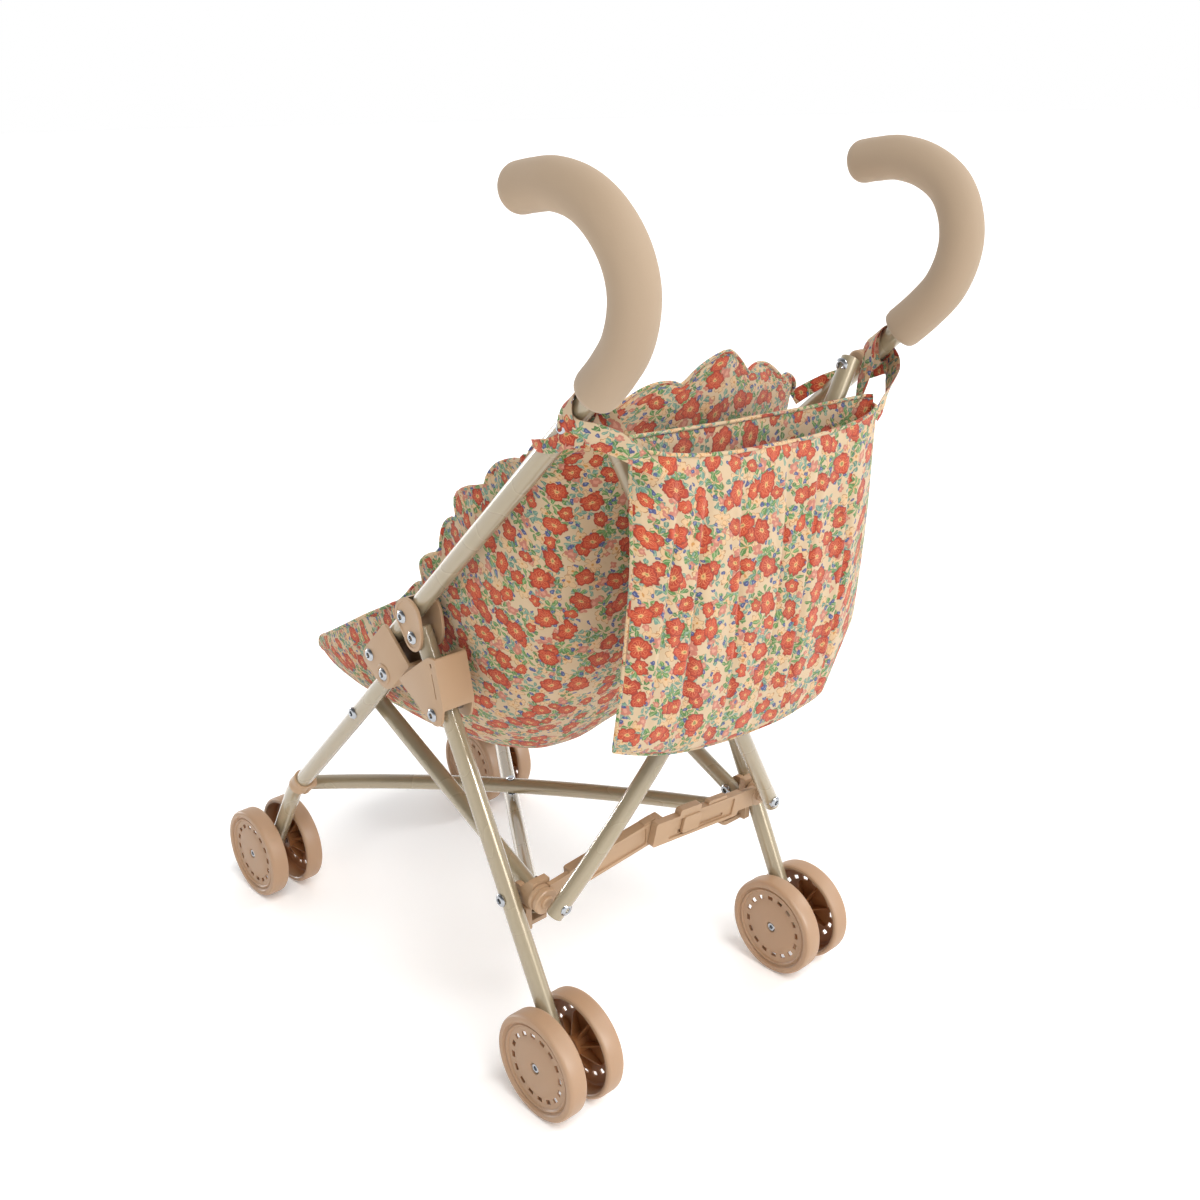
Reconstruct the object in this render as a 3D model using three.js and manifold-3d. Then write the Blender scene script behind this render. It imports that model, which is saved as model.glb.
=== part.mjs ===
// A doll's umbrella stroller: two tube sides joined by a rear cross, a floor cross and a folding brace.
// Millimetres, +Z up, the front of the stroller towards -Y, its left side towards +X.
import * as THREE from "three";
import { mergeVertices } from "three/addons/utils/BufferGeometryUtils.js";
import Module from "manifold-3d";

const wasm = await Module();
wasm.setup();

// ---- driving dimensions ----
const TUBE_R = 6;
const TUBE_BORE = 4.9;
const CROSS_R = 5.5;
const CROSS_BORE = 4.5;
const RIVET_R = 1.9;
const HOLE_R = 2.25;
const HEAD_R = 4.1;
const HEAD_H = 1.6;
const GAP = 0.35;

const WHEEL_R = 34.5;
const WHEEL_W = 13.9;
const WHEEL_IN = 7.9; // from the leg's middle to the near face of each wheel
const AXLE_R = 2.2;
const REAR_TRACK = 107;
const FRONT_TRACK = 105.3;
const FRONT_AXLE_Y = -343.9;

const ORIGIN_Y = 138.05; // from the rear axle to the middle of the stroller's length

// Points of one side, as y and z from the rear axle and the floor.
const HANDLE_END = [-163, 252.2];
const LEG_TOP = [-149, 243];
const REAR_TOP = [-112, 278.5];
const PLATE_UP = [-121.6, 289.5];
const CATCH_PIVOT = [-92.1, 235];
const LINK_FRONT = [-196, 199.5];
const LOW_PIVOT = [-42.8, 126];
const CROSS_TOP = [38, 432];
const CROSS_LOW = [-11.8, 125.5];
const FLOOR_FRONT = [-304, 97];
const FLOOR_REAR = [-46, 111];
const CROSS_X = 96.5;
const FLOOR_X = 86.5;
const CLAMP_X = 108.4;
const PLATE_X = 110;
const CATCH_X = 109.4;
const LINK_X = 91;

const v3 = (x, y, z) => new THREE.Vector3(x, y, z);
const X_AXIS = v3(1, 0, 0);
const Y_AXIS = v3(0, 1, 0);

// The line of the handle tube, of the straight part of the front leg and of the rear leg.
const HANDLE_DIR = v3(0.0355, 0.7421, 0.6694).normalize();
const handleAt = (s, t) =>
  v3(s * (108 + HANDLE_DIR.x * t), HANDLE_END[0] + HANDLE_DIR.y * t, HANDLE_END[1] + HANDLE_DIR.z * t);
const frontAt = (s, t) =>
  v3(s * (CLAMP_X - 0.0115 * t), LEG_TOP[0] - 0.728 * t, LEG_TOP[1] - 0.6856 * t);
const rearAt = (s, t) =>
  v3(s * (109.8 - 0.01043 * t), REAR_TOP[0] + 0.4171 * t, REAR_TOP[1] - 0.9088 * t);

// ---- materials ----
const material = (color, roughness, metalness) => new THREE.MeshStandardMaterial({ color, roughness, metalness });
const PAINT = () => material(0xb3a488, 0.35, 0.25);
const PLASTIC = () => material(0xc29e80, 0.5, 0);
const FOAM = () => material(0xbfa182, 0.85, 0);
const WHEEL = () => material(0xc79e7b, 0.55, 0);
const STEEL = () => material(0xc4c6c8, 0.25, 1);
const CLOTH = () => material(0xead3ae, 0.9, 0);

const stroller = new THREE.Group();
stroller.name = "doll_stroller";
const frame = new THREE.Group();
frame.position.set(0, ORIGIN_Y, 0);
stroller.add(frame);

// ---- solids ----
function solidOf(geometry) {
  const flat = geometry.index ? geometry.toNonIndexed() : geometry.clone();
  const bare = new THREE.BufferGeometry().setAttribute("position", flat.getAttribute("position"));
  const merged = mergeVertices(bare, 1e-4);
  return new wasm.Manifold(
    new wasm.Mesh({
      numProp: 3,
      vertProperties: merged.attributes.position.array,
      triVerts: new Uint32Array(merged.index.array),
    }),
  );
}

function geometryOf(solid) {
  const mesh = solid.getMesh();
  const geometry = new THREE.BufferGeometry();
  geometry.setAttribute("position", new THREE.BufferAttribute(new Float32Array(mesh.vertProperties), 3));
  geometry.setIndex(new THREE.BufferAttribute(new Uint32Array(mesh.triVerts), 1));
  const faceted = geometry.toNonIndexed();
  faceted.computeVertexNormals();
  return faceted;
}

// A geometry drawn in the frame's own coordinates becomes a mesh that stands at `origin`.
function place(name, geometry, origin, skin) {
  geometry.translate(-origin.x, -origin.y, -origin.z);
  const mesh = new THREE.Mesh(geometry, skin);
  mesh.name = name;
  mesh.position.copy(origin);
  frame.add(mesh);
  return mesh;
}

// A rod turned about an axis through `from` along `direction`, with radii at distances along it.
function turned(profile, from, direction, segments) {
  const points = profile.map(([r, a]) => new THREE.Vector2(r, a));
  let geometry = new THREE.LatheGeometry(points, segments);
  if (solidOf(geometry).volume() < 0) geometry = new THREE.LatheGeometry(points.reverse(), segments);
  const turn = new THREE.Quaternion().setFromUnitVectors(Y_AXIS, direction.clone().normalize());
  geometry.applyQuaternion(turn);
  geometry.translate(from.x, from.y, from.z);
  return geometry;
}

const rod = (from, to, radius, segments = 12) => {
  const direction = to.clone().sub(from);
  const profile = [[0, 0], [radius, 0], [radius, direction.length()], [0, direction.length()]];
  return turned(profile, from, direction, segments);
};

// A path that bends at its own points, so a long straight tube takes one step.
class Route extends THREE.Curve {
  constructor(points) {
    super();
    this.points = points;
  }
  getPoint(t) {
    const last = this.points.length - 1;
    const i = Math.min(Math.floor(t * last + 1e-9), last - 1);
    return this.points[i].clone().lerp(this.points[i + 1], t * last - i);
  }
  getPointAt(t) {
    return this.getPoint(t);
  }
  getTangentAt(t) {
    const last = this.points.length - 1;
    const i = Math.round(t * last);
    const before = this.points[Math.max(i - 1, 0)];
    const after = this.points[Math.min(i + 1, last)];
    return after.clone().sub(before).normalize();
  }
}

function swept(points, radius, bore, corners = 12) {
  const section = new THREE.Shape().absarc(0, 0, radius, 0, 2 * Math.PI);
  if (bore) section.holes.push(new THREE.Path().absarc(0, 0, bore, 0, 2 * Math.PI, true));
  return new THREE.ExtrudeGeometry(section, {
    curveSegments: corners / 2,
    steps: points.length - 1,
    extrudePath: new Route(points),
    bevelEnabled: false,
  });
}

// A flat outline in y and z, as thick as from x0 to x1.
function plate(outline, x0, x1) {
  const shape = new THREE.Shape(outline.map(([y, z]) => new THREE.Vector2(y, z)));
  const geometry = new THREE.ExtrudeGeometry(shape, { depth: Math.abs(x1 - x0), bevelEnabled: false });
  const upright = new THREE.Matrix4().makeBasis(v3(0, 1, 0), v3(0, 0, 1), v3(1, 0, 0));
  geometry.applyMatrix4(upright);
  geometry.translate(Math.min(x0, x1), 0, 0);
  return geometry;
}

function box(x0, x1, y0, y1, z0, z1) {
  const geometry = new THREE.BoxGeometry(Math.abs(x1 - x0), Math.abs(y1 - y0), Math.abs(z1 - z0));
  geometry.translate((x0 + x1) / 2, (y0 + y1) / 2, (z0 + z1) / 2);
  return geometry;
}

function joined(pieces, cuts = []) {
  let solid = solidOf(pieces[0]);
  for (const piece of pieces.slice(1)) solid = solid.add(solidOf(piece));
  for (const cut of cuts) solid = solid.subtract(solidOf(cut));
  return geometryOf(solid);
}

// A hole across the frame at a point given as y and z.
const crossHole = (s, [y, z], radius = HOLE_R, x0 = 60, x1 = 150) =>
  rod(v3(s * x0, y, z), v3(s * x1, y, z), radius / Math.cos(Math.PI / 8), 8);

// A rivet across the frame: its shank runs from x0 to x1, with a head outside each end.
function rivet(name, s, [y, z], x0, x1, radius = RIVET_R, head = HEAD_R) {
  const long = x1 - x0;
  const profile = [
    [0, -HEAD_H], [head * 0.7, -HEAD_H], [head, 0], [radius, 0],
    [radius, long], [head, long], [head * 0.7, long + HEAD_H], [0, long + HEAD_H],
  ];
  const from = v3(s * x0, y, z);
  place(name, turned(profile, from, v3(s, 0, 0), 8), v3((s * (x0 + x1)) / 2, y, z), STEEL());
}

const arc = ([cy, cz], radius, from, to, steps) =>
  Array.from({ length: steps + 1 }, (_, i) => {
    const a = ((from + ((to - from) * i) / steps) * Math.PI) / 180;
    return [cy + radius * Math.cos(a), cz + radius * Math.sin(a)];
  });

// ---- wheels ----
const WHEEL_PROFILE = [
  [2.6, 1.2], [6.5, 1.2], [6.5, 9.2], [29.4, 9.2], [31.2, 0.2], [34.5, 1.6], [34.5, 12.2],
  [30.4, 13.9], [28.2, 11.9], [6.4, 12.9], [6.4, 11.4], [2.6, 11.4], [2.6, 1.2],
];

function wheel(name, x, y, out) {
  const from = v3(x + out * WHEEL_IN, y, WHEEL_R);
  place(name, turned(WHEEL_PROFILE, from, v3(out, 0, 0), 20), v3(x + out * (WHEEL_IN + WHEEL_W / 2), y, WHEEL_R), WHEEL());
}

// ---- one side of the stroller, s = 1 on its left and -1 on its right ----
const HOOK = [
  [58.3, 451.8], [72, 464], [84, 478.5], [90.2, 498], [87.8, 515.5], [78.5, 530.5],
  [63, 540.6], [44, 544.9], [28, 543.8], [19.5, 542.5],
];

function hookPoints(s, count) {
  return HOOK.slice(0, count).map(([y, z], i) => v3(s * (118.4 + Math.min(i, 5) * 1.9), y, z));
}

function handle(s, side) {
  const tail = handleAt(s, -5.5);
  const start = handleAt(s, 296);
  const tube = swept([tail, start, ...hookPoints(s, 9).slice(1)], TUBE_R, TUBE_BORE, 10);
  const holes = [HANDLE_END, PLATE_UP, CROSS_TOP].map((at) => crossHole(s, at));
  place(`${side}_handle_tube`, joined([tube], holes), handleAt(s, 0), PAINT());
  const foam = [handleAt(s, 299), ...hookPoints(s, 10).slice(1)];
  const core = [handleAt(s, 290), ...hookPoints(s, 9).slice(1), hookPoints(s, 10)[9].lerp(hookPoints(s, 9)[8], 0.5)];
  const grip = joined([swept(foam, 12.2, 0, 12), capOf(foam)], [swept(core, (TUBE_R + GAP) / Math.cos(Math.PI / 10), 0, 10)]);
  place(`${side}_grip`, grip, hookPoints(s, 4)[3], FOAM());
}

// The rounded end of the foam grip.
function capOf(points) {
  const [a, b] = points.slice(-2);
  const along = b.clone().sub(a).normalize();
  return turned([[0, 0], [12.2, 0], [11.2, 3], [7.4, 5.8], [0, 6.6]], b.clone().addScaledVector(along, -0.4), along, 12);
}

// A saddle over the handle, whose two cheeks hold the top of the rear leg.
function hingeSaddle(s, side) {
  const outline = [
    [-128.4, 289.5], [-125.5, 297.5], [-118.5, 302.5], [-111.2, 303], [-105, 298.5], [-102.4, 290.5],
    [-102.2, 279.5], [-104.8, 273], [-110.2, 270], [-116.6, 271.6], [-121.6, 278.6],
  ];
  const inner = PLATE_X - 8.8;
  const outer = PLATE_X + 8.8;
  const along = [HANDLE_DIR.y, HANDLE_DIR.z];
  const above = [-HANDLE_DIR.z, HANDLE_DIR.y];
  const gap = [[-60, 6.3], [60, 6.3], [60, -80], [-60, -80]].map(([a, n]) => [
    PLATE_UP[0] + along[0] * a + above[0] * n, PLATE_UP[1] + along[1] * a + above[1] * n,
  ]);
  const block = plate(outline, s * inner, s * outer);
  const cuts = [plate(gap, s * (inner + 2), s * (outer - 2)), crossHole(s, PLATE_UP), crossHole(s, REAR_TOP)];
  place(`${side}_hinge_saddle`, joined([block], cuts), v3(s * PLATE_X, ...PLATE_UP), PLASTIC());
  rivet(`${side}_hinge_rivet_upper`, s, PLATE_UP, inner - GAP, outer + GAP);
  rivet(`${side}_hinge_rivet_lower`, s, REAR_TOP, inner - GAP, outer + GAP);
}

// The channel that holds the lower end of the handle and the top of the front leg.
function clamp(s, side) {
  const outline = [
    [-146, 277], [-169.4, 254.4], [-171, 250], [-170, 245.4], [-158, 238], [-152.5, 234.6], [-147.5, 233.8],
    [-141, 236], [-119.9, 257], [-139.8, 275.4], [-142.8, 277.6],
  ];
  const along = [0.7088, 0.7054];
  const out = [0.7054, -0.7088];
  const wall = 1.8;
  const foot = [-141 - wall * out[0], 236 - wall * out[1]];
  const corner = (a, o) => [foot[0] + a * along[0] + o * out[0], foot[1] + a * along[1] + o * out[1]];
  const inside = [corner(-40, 0), corner(60, 0), corner(60, -80), corner(-40, -80)];
  const body = plate(outline, s * (CLAMP_X - 8.8), s * (CLAMP_X + 8.8));
  const hollow = plate(inside, s * (CLAMP_X - 6.8), s * (CLAMP_X + 6.8));
  const holes = [crossHole(s, HANDLE_END), crossHole(s, LEG_TOP)];
  place(`${side}_fold_clamp`, joined([body], [hollow, ...holes]), v3(s * CLAMP_X, ...LEG_TOP), PLASTIC());
  rivet(`${side}_clamp_rivet_upper`, s, HANDLE_END, CLAMP_X - 8.8 - GAP, CLAMP_X + 8.8 + GAP);
  rivet(`${side}_clamp_rivet_lower`, s, LEG_TOP, CLAMP_X - 8.8 - GAP, CLAMP_X + 8.8 + GAP);
}

function frontLeg(s, side) {
  const hub = [FRONT_AXLE_Y, WHEEL_R];
  const points = [
    frontAt(s, -9), frontAt(s, 204), frontAt(s, 209.5), v3(s * 105.8, -305.9, 93.8), v3(s * 105.7, -309.2, 88.4),
    v3(s * FRONT_TRACK, FRONT_AXLE_Y - 3, WHEEL_R - 4.7),
  ];
  const holes = [crossHole(s, LEG_TOP), crossHole(s, LINK_FRONT), crossHole(s, hub, AXLE_R + GAP)];
  place(`${side}_front_leg`, joined([swept(points, TUBE_R, TUBE_BORE)], holes), frontAt(s, 0), PAINT());
}

// The clip on the front leg, with an ear that the floor cross ends beside.
function frontClip(s, side) {
  const a = frontAt(s, 186);
  const b = frontAt(s, 203);
  const mid = a.clone().lerp(b, 0.6);
  const boss = rod(v3(s * 94.9, mid.y - 1, mid.z - 1.2), v3(s * 104, mid.y - 1, mid.z - 1.2), 6.4, 12);
  const lean = (Math.atan2(FLOOR_FRONT[1] - mid.z + 1.2, FLOOR_FRONT[0] - mid.y + 1) * 180) / Math.PI;
  const outline = [...arc(FLOOR_FRONT, 5.4, lean - 90, lean + 90, 8), ...arc([mid.y - 1, mid.z - 1.2], 5.4, lean + 90, lean + 270, 8)];
  const lug = plate(outline, s * 95.9, s * 98.7);
  const bore = swept([frontAt(s, 170), frontAt(s, 220)], TUBE_R + GAP, 0, 12);
  place(`${side}_front_clip`, joined([rod(a, b, 8.8, 14), boss, lug], [bore]), mid, PLASTIC());
}

function rearLeg(s, side) {
  const points = [rearAt(s, -4.8), rearAt(s, 268.5 + 5.5)];
  const holes = [
    crossHole(s, REAR_TOP), crossHole(s, CATCH_PIVOT), crossHole(s, LOW_PIVOT), crossHole(s, [0, WHEEL_R], AXLE_R + GAP),
  ];
  place(`${side}_rear_leg`, joined([swept(points, TUBE_R, TUBE_BORE)], holes), rearAt(s, 0), PAINT());
  rivet(`${side}_low_rivet`, s, LOW_PIVOT, LINK_X - CROSS_R - GAP, 114.3);
}

// The fold lock: a channel round the back of the rear leg, open to the front, on one rivet at its foot.
function foldCatch(s, side) {
  const outline = [
    [-126.3, 248.1], [-96.5, 230.6], [-92.5, 228.8], [-87.5, 228.9], [-83.6, 231.4], [-80.6, 242.8],
    [-86.6, 272.6], [-93.5, 271.9], [-101.6, 266.4],
  ];
  const inside = [[-130, 215], [-70, 215], [-70, 240.5], [-82.8, 240.5], [-88.8, 280], [-130, 280]];
  const body = plate(outline, s * (CATCH_X - 11.7), s * (CATCH_X + 11.7));
  const hollow = plate(inside, s * (CATCH_X - 10.1), s * (CATCH_X + 10.1));
  place(`${side}_fold_catch`, joined([body], [hollow, crossHole(s, CATCH_PIVOT)]), v3(s * CATCH_X, ...CATCH_PIVOT), PLASTIC());
  rivet(`${side}_catch_rivet`, s, CATCH_PIVOT, CATCH_X - 11.7 - GAP, CATCH_X + 11.7 + GAP);
}

function sideLink(s, side) {
  const front = v3(s * LINK_X, ...LINK_FRONT);
  const rear = v3(s * LINK_X, ...LOW_PIVOT);
  const along = rear.clone().sub(front).normalize();
  const points = [front.clone().addScaledVector(along, -7), rear.clone().addScaledVector(along, 6)];
  const tube = swept(points, CROSS_R, CROSS_BORE);
  place(`${side}_side_link`, joined([tube], [crossHole(s, LOW_PIVOT)]), rear, PAINT());
}

// The plane of the rear cross: W runs up it, N points out of its back.
const W = v3(0, CROSS_TOP[0] - CROSS_LOW[0], CROSS_TOP[1] - CROSS_LOW[1]).normalize();
const N = v3(0, W.z, -W.y);
const crossPoint = (x, up, back) =>
  v3(x, CROSS_LOW[0], CROSS_LOW[1]).addScaledVector(W, up).addScaledVector(N, back);

// A block given across x, up the cross plane and in front of it.
function crossBlock(x0, x1, up0, up1, front0, front1) {
  const geometry = new THREE.BoxGeometry(Math.abs(x1 - x0), front1 - front0, up1 - up0);
  geometry.applyMatrix4(new THREE.Matrix4().makeBasis(v3(1, 0, 0), N, W));
  const at = crossPoint((x0 + x1) / 2, (up0 + up1) / 2, -(front0 + front1) / 2);
  geometry.translate(at.x, at.y, at.z);
  return geometry;
}

// The bracket that swivels on the rear leg's low rivet and carries the pin of the brace.
function rearBracket(s, side) {
  const ear = [...arc(LOW_PIVOT, 6.4, 60, 300, 8), [-31, 118.6], [-28.2, 137], [-33.4, 137.4]];
  const lug = plate(ear, s * 97.3, s * 101.1);
  const block = crossBlock(s * 88, s * 101.1, -8.5, 10, 17.4, 22);
  const pin = rod(crossPoint(s * CROSS_X, 0, -20), crossPoint(s * CROSS_X, 0, -9), 2.4, 12);
  place(`${side}_rear_bracket`, joined([lug, block, pin], [crossHole(s, LOW_PIVOT)]), v3(s * 99, ...LOW_PIVOT), PLASTIC());
}

// The stop on the rear leg that carries the end of the floor cross.
function floorLug(s, side) {
  const wall = box(s * 97, s * 101.35, -50, -35, 101, 118.2);
  const shelf = box(s * 80.5, s * 98, -52, -39.5, 101, 103.8);
  place(`${side}_floor_lug`, joined([wall, shelf]), v3(s * 99, -44, 104), PLASTIC());
}

function crossTube(name, s, from, to, bow, normal, hole) {
  const steps = bow ? 6 : 1;
  const along = to.clone().sub(from).normalize();
  const a = from.clone().addScaledVector(along, -3.5);
  const b = to.clone().addScaledVector(along, 3.5);
  const points = Array.from({ length: steps + 1 }, (_, i) => {
    const t = i / steps;
    return a.clone().lerp(b, t).addScaledVector(normal, bow * 4 * t * (1 - t));
  });
  const tube = swept(points, CROSS_R, CROSS_BORE);
  const cuts = hole ? [hole] : [];
  place(name, joined([tube], cuts), from, PAINT());
}

function brace(s, side, near, far) {
  const dip = s * THREE.MathUtils.degToRad(-6);
  const knuckle = rod(crossPoint(s * CROSS_X, 0, -16.9), crossPoint(s * CROSS_X, 0, -9), 8.6, 16);
  const root = crossBlock(s * (CROSS_X - 34), s * (CROSS_X - 3), -7.5, 7.5, Math.max(near, 9), Math.min(far, 16.9));
  const reach = s > 0 ? -4 : -9;
  const beam = crossBlock(s * (CROSS_X - 24), s * reach, -8.8, 8.8, near, far);
  const pieces = [knuckle, root, beam];
  if (s < 0) pieces.push(crossBlock(-12, -32, 6, 13, near, far));
  const bore = rod(crossPoint(s * CROSS_X, 0, -18), crossPoint(s * CROSS_X, 0, -8), 2.4 + GAP, 12);
  const geometry = joined(pieces, [bore]);
  const pivot = crossPoint(s * CROSS_X, 0, -13);
  geometry.translate(-pivot.x, -pivot.y, -pivot.z);
  geometry.applyQuaternion(new THREE.Quaternion().setFromAxisAngle(N, -dip));
  geometry.translate(pivot.x, pivot.y, pivot.z);
  place(`${side}_brace`, geometry, pivot, PLASTIC());
}

function axle(name, x, y) {
  const half = WHEEL_IN + 11.4 + GAP;
  const profile = [
    [0, -half - 1.2], [3.2, -half - 1.2], [4.6, -half], [AXLE_R, -half], [AXLE_R, half], [4.6, half],
    [3.2, half + 1.2], [0, half + 1.2],
  ];
  place(name, turned(profile, v3(x, y, WHEEL_R), X_AXIS, 10), v3(x, y, WHEEL_R), STEEL());
}

for (const [s, side] of [[1, "left"], [-1, "right"]]) {
  handle(s, side);
  hingeSaddle(s, side);
  clamp(s, side);
  frontLeg(s, side);
  frontClip(s, side);
  rearLeg(s, side);
  foldCatch(s, side);
  sideLink(s, side);
  rearBracket(s, side);
  floorLug(s, side);
  const washer = rod(v3(s * 104.2, ...CROSS_TOP), v3(s * 111.1, ...CROSS_TOP), 6.6, 14);
  place(`${side}_cross_washer`, washer, v3(s * 107.6, ...CROSS_TOP), PLASTIC());
  for (const [end, x, y] of [["front", FRONT_TRACK, FRONT_AXLE_Y], ["rear", REAR_TRACK, 0]]) {
    axle(`${side}_${end}_axle`, s * x, y);
    wheel(`${side}_${end}_wheel_outer`, s * x, y, s);
    wheel(`${side}_${end}_wheel_inner`, s * x, y, -s);
  }
}

// ---- the crosses and the brace ----
const up = Math.hypot(CROSS_TOP[0] - CROSS_LOW[0], CROSS_TOP[1] - CROSS_LOW[1]);
const middle = crossPoint(0, up / 2, 0);
const rearHole = rod(middle.clone().addScaledVector(N, -12), middle.clone().addScaledVector(N, 12), HOLE_R, 10);
crossTube("left_rear_cross", 1, crossPoint(CROSS_X, up, 0), crossPoint(-CROSS_X, 0, 0), 0, N, rearHole);
crossTube("right_rear_cross", -1, crossPoint(-CROSS_X, up, 0), crossPoint(CROSS_X, 0, 0), 14.4, N, null);
const pinProfile = (head, tube, spacer) => [
  [0, -tube - HEAD_H], [head * 0.6, -tube - HEAD_H], [head, -tube - 0.4], [head, -tube], [RIVET_R, -tube],
  [RIVET_R, tube], [5, tube], [5, tube + spacer], [0, tube + spacer],
];
place("rear_cross_rivet", turned(pinProfile(HEAD_R, CROSS_R + GAP, 1.6), middle, N, 12), middle, STEEL());

const floorFront = (s) => v3(s * FLOOR_X, ...FLOOR_FRONT);
const floorRear = (s) => v3(s * FLOOR_X, ...FLOOR_REAR);
const floorNormal = v3(0, FLOOR_REAR[1] - FLOOR_FRONT[1], FLOOR_FRONT[0] - FLOOR_REAR[0]).normalize().multiplyScalar(-1);
const floorMiddle = floorFront(1).lerp(floorRear(-1), 0.5);
const upperMiddle = floorMiddle.clone().addScaledVector(floorNormal, 7);
const floorHole = rod(
  upperMiddle.clone().addScaledVector(floorNormal, -12), upperMiddle.clone().addScaledVector(floorNormal, 12), HOLE_R, 10,
);
crossTube("right_floor_cross", -1, floorRear(-1), floorFront(1), 7, floorNormal, floorHole);
crossTube("left_floor_cross", 1, floorRear(1), floorFront(-1), -7, floorNormal, null);
place(
  "floor_cross_rivet",
  turned(pinProfile(HEAD_R, CROSS_R + GAP, 1.6), upperMiddle, floorNormal.clone().negate(), 12),
  upperMiddle,
  STEEL(),
);

brace(1, "left", 13.1, 19.6);
brace(-1, "right", 7.6, 12.7);

// ---- the seat, a sling of cloth with wings beside the handles ----
// How low the middle hangs, as y, z and how flat the cloth is before it turns up to the edges.
const SEAT_MIDDLE = [
  [31, 446, 2], [21, 410, 2.7], [10, 365, 2.7], [-4, 318, 2.7], [-20, 275, 2.7], [-42, 238, 2.7], [-74, 200, 2.4],
  [-112, 171, 1.9], [-155, 156, 1.6], [-200, 152, 1.5], [-244, 160, 1.6], [-278, 176, 1.8], [-300, 198, 2],
];
const SEAT_EDGE = [
  [88, 22, 436], [100, -6, 416], [101, -38, 394], [101, -68, 374], [100, -96, 346], [96, -122, 315],
  [94.5, -146, 292], [94, -172, 277], [93.5, -200, 263], [93, -228, 248], [91, -255, 234], [84, -280, 222],
  [74, -300, 208],
];

function seatPoint(i, u) {
  const [cy, cz, flatness] = SEAT_MIDDLE[i];
  const [ex, ey, ez] = SEAT_EDGE[i];
  const side = Math.abs(u);
  const blend = side ** flatness;
  const across = Math.sign(u) * ex * Math.sin((side * Math.PI) / 2.0) ** 0.92;
  return v3(across, cy + (ey - cy) * blend, cz + (ez - cz) * blend);
}

function shellOf(rows, columns, point, thick, [top, low], [right, left]) {
  const grid = [];
  for (let i = 0; i < rows; i += 1)
    for (let j = 0; j < columns; j += 1) grid.push(point(i, COLUMNS[j]));
  const at = (i, j) => grid[Math.min(Math.max(i, 0), rows - 1) * columns + Math.min(Math.max(j, 0), columns - 1)];
  const faces = [];
  const both = [[], []];
  for (let i = 0; i < rows; i += 1)
    for (let j = 0; j < columns; j += 1) {
      const down = at(i + 1, j).clone().sub(at(i - 1, j));
      const over = at(i, j + 1).clone().sub(at(i, j - 1));
      const normal = over.cross(down).normalize();
      both[0].push(at(i, j).clone().addScaledVector(normal, thick / 2));
      both[1].push(at(i, j).clone().addScaledVector(normal, -thick / 2));
    }
  const id = (layer, i, j) => layer * rows * columns + i * columns + j;
  const quad = (a, b, c, d) => faces.push(a, b, c, a, c, d);
  for (let i = top; i < low; i += 1)
    for (let j = right; j < left; j += 1) {
      quad(id(0, i, j), id(0, i, j + 1), id(0, i + 1, j + 1), id(0, i + 1, j));
      quad(id(1, i, j), id(1, i + 1, j), id(1, i + 1, j + 1), id(1, i, j + 1));
    }
  for (let i = top; i < low; i += 1) {
    quad(id(0, i, right), id(0, i + 1, right), id(1, i + 1, right), id(1, i, right));
    quad(id(0, i, left), id(1, i, left), id(1, i + 1, left), id(0, i + 1, left));
  }
  for (let j = right; j < left; j += 1) {
    quad(id(0, top, j), id(1, top, j), id(1, top, j + 1), id(0, top, j + 1));
    quad(id(0, low, j), id(0, low, j + 1), id(1, low, j + 1), id(1, low, j));
  }
  const geometry = new THREE.BufferGeometry().setFromPoints([...both[0], ...both[1]]);
  geometry.setIndex(faces);
  const solid = geometry.toNonIndexed();
  solid.computeVertexNormals();
  return solid;
}

const COLUMNS = [-1, -0.84, -0.68, -0.5, -0.31, 0, 0.31, 0.5, 0.68, 0.84, 1];

// The cloth is sewn from a long middle panel and two side panels, which meet at their seams.
const PANELS = [
  ["seat_middle", [0, 12], [4, 6]],
  ["left_seat_wing", [0, 12], [6, 10]],
  ["right_seat_wing", [0, 12], [0, 4]],
];
for (const [name, rows, columns] of PANELS) {
  const panel = shellOf(SEAT_MIDDLE.length, 11, seatPoint, 2.4, rows, columns);
  if (solidOf(panel).volume() < 0) throw new Error(`${name} is inside out`);
  place(name, panel, seatPoint(Math.round((rows[0] + rows[1]) / 2), COLUMNS[Math.round((columns[0] + columns[1]) / 2)]), CLOTH());
}

// ---- the bag behind the seat, with the two bands that hold it to the handles ----
const BAG_OUTER = [
  [45.5, 421], [66, 417], [67.5, 380], [64, 310], [57, 260], [49, 237], [40, 238], [36.5, 262], [41, 310], [45, 370],
];
const BAG_INNER = [
  [47.6, 440], [64, 440], [65.4, 380], [62, 311], [55.2, 262], [47.6, 240.5], [41.8, 241], [38.8, 263], [43.1, 310], [47.1, 370],
];
const outer = plate(BAG_OUTER, -95, 95);
const inner = plate(BAG_INNER, -93, 93);
const bands = [];
const bores = [];
for (const s of [1, -1]) {
  bands.push(rod(handleAt(s, 279), handleAt(s, 291), 8.2, 14));
  bores.push(rod(handleAt(s, 270), handleAt(s, 298), TUBE_R + GAP, 14));
  const tab = new THREE.BoxGeometry(33, 1.8, 13);
  tab.applyQuaternion(new THREE.Quaternion().setFromAxisAngle(Y_AXIS, s * -0.62));
  tab.translate(s * 106, 57.5, 428.5);
  bands.push(tab);
}
place("bag", joined([outer, ...bands], [inner, ...bores]), v3(0, 52, 330), CLOTH());

export default stroller;
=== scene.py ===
"""Looks for a doll's umbrella stroller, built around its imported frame."""
from math import atan2, copysign, cos, exp, hypot, pi, radians, sin

import bmesh
import bpy
from mathutils import Matrix, Vector, noise


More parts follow.
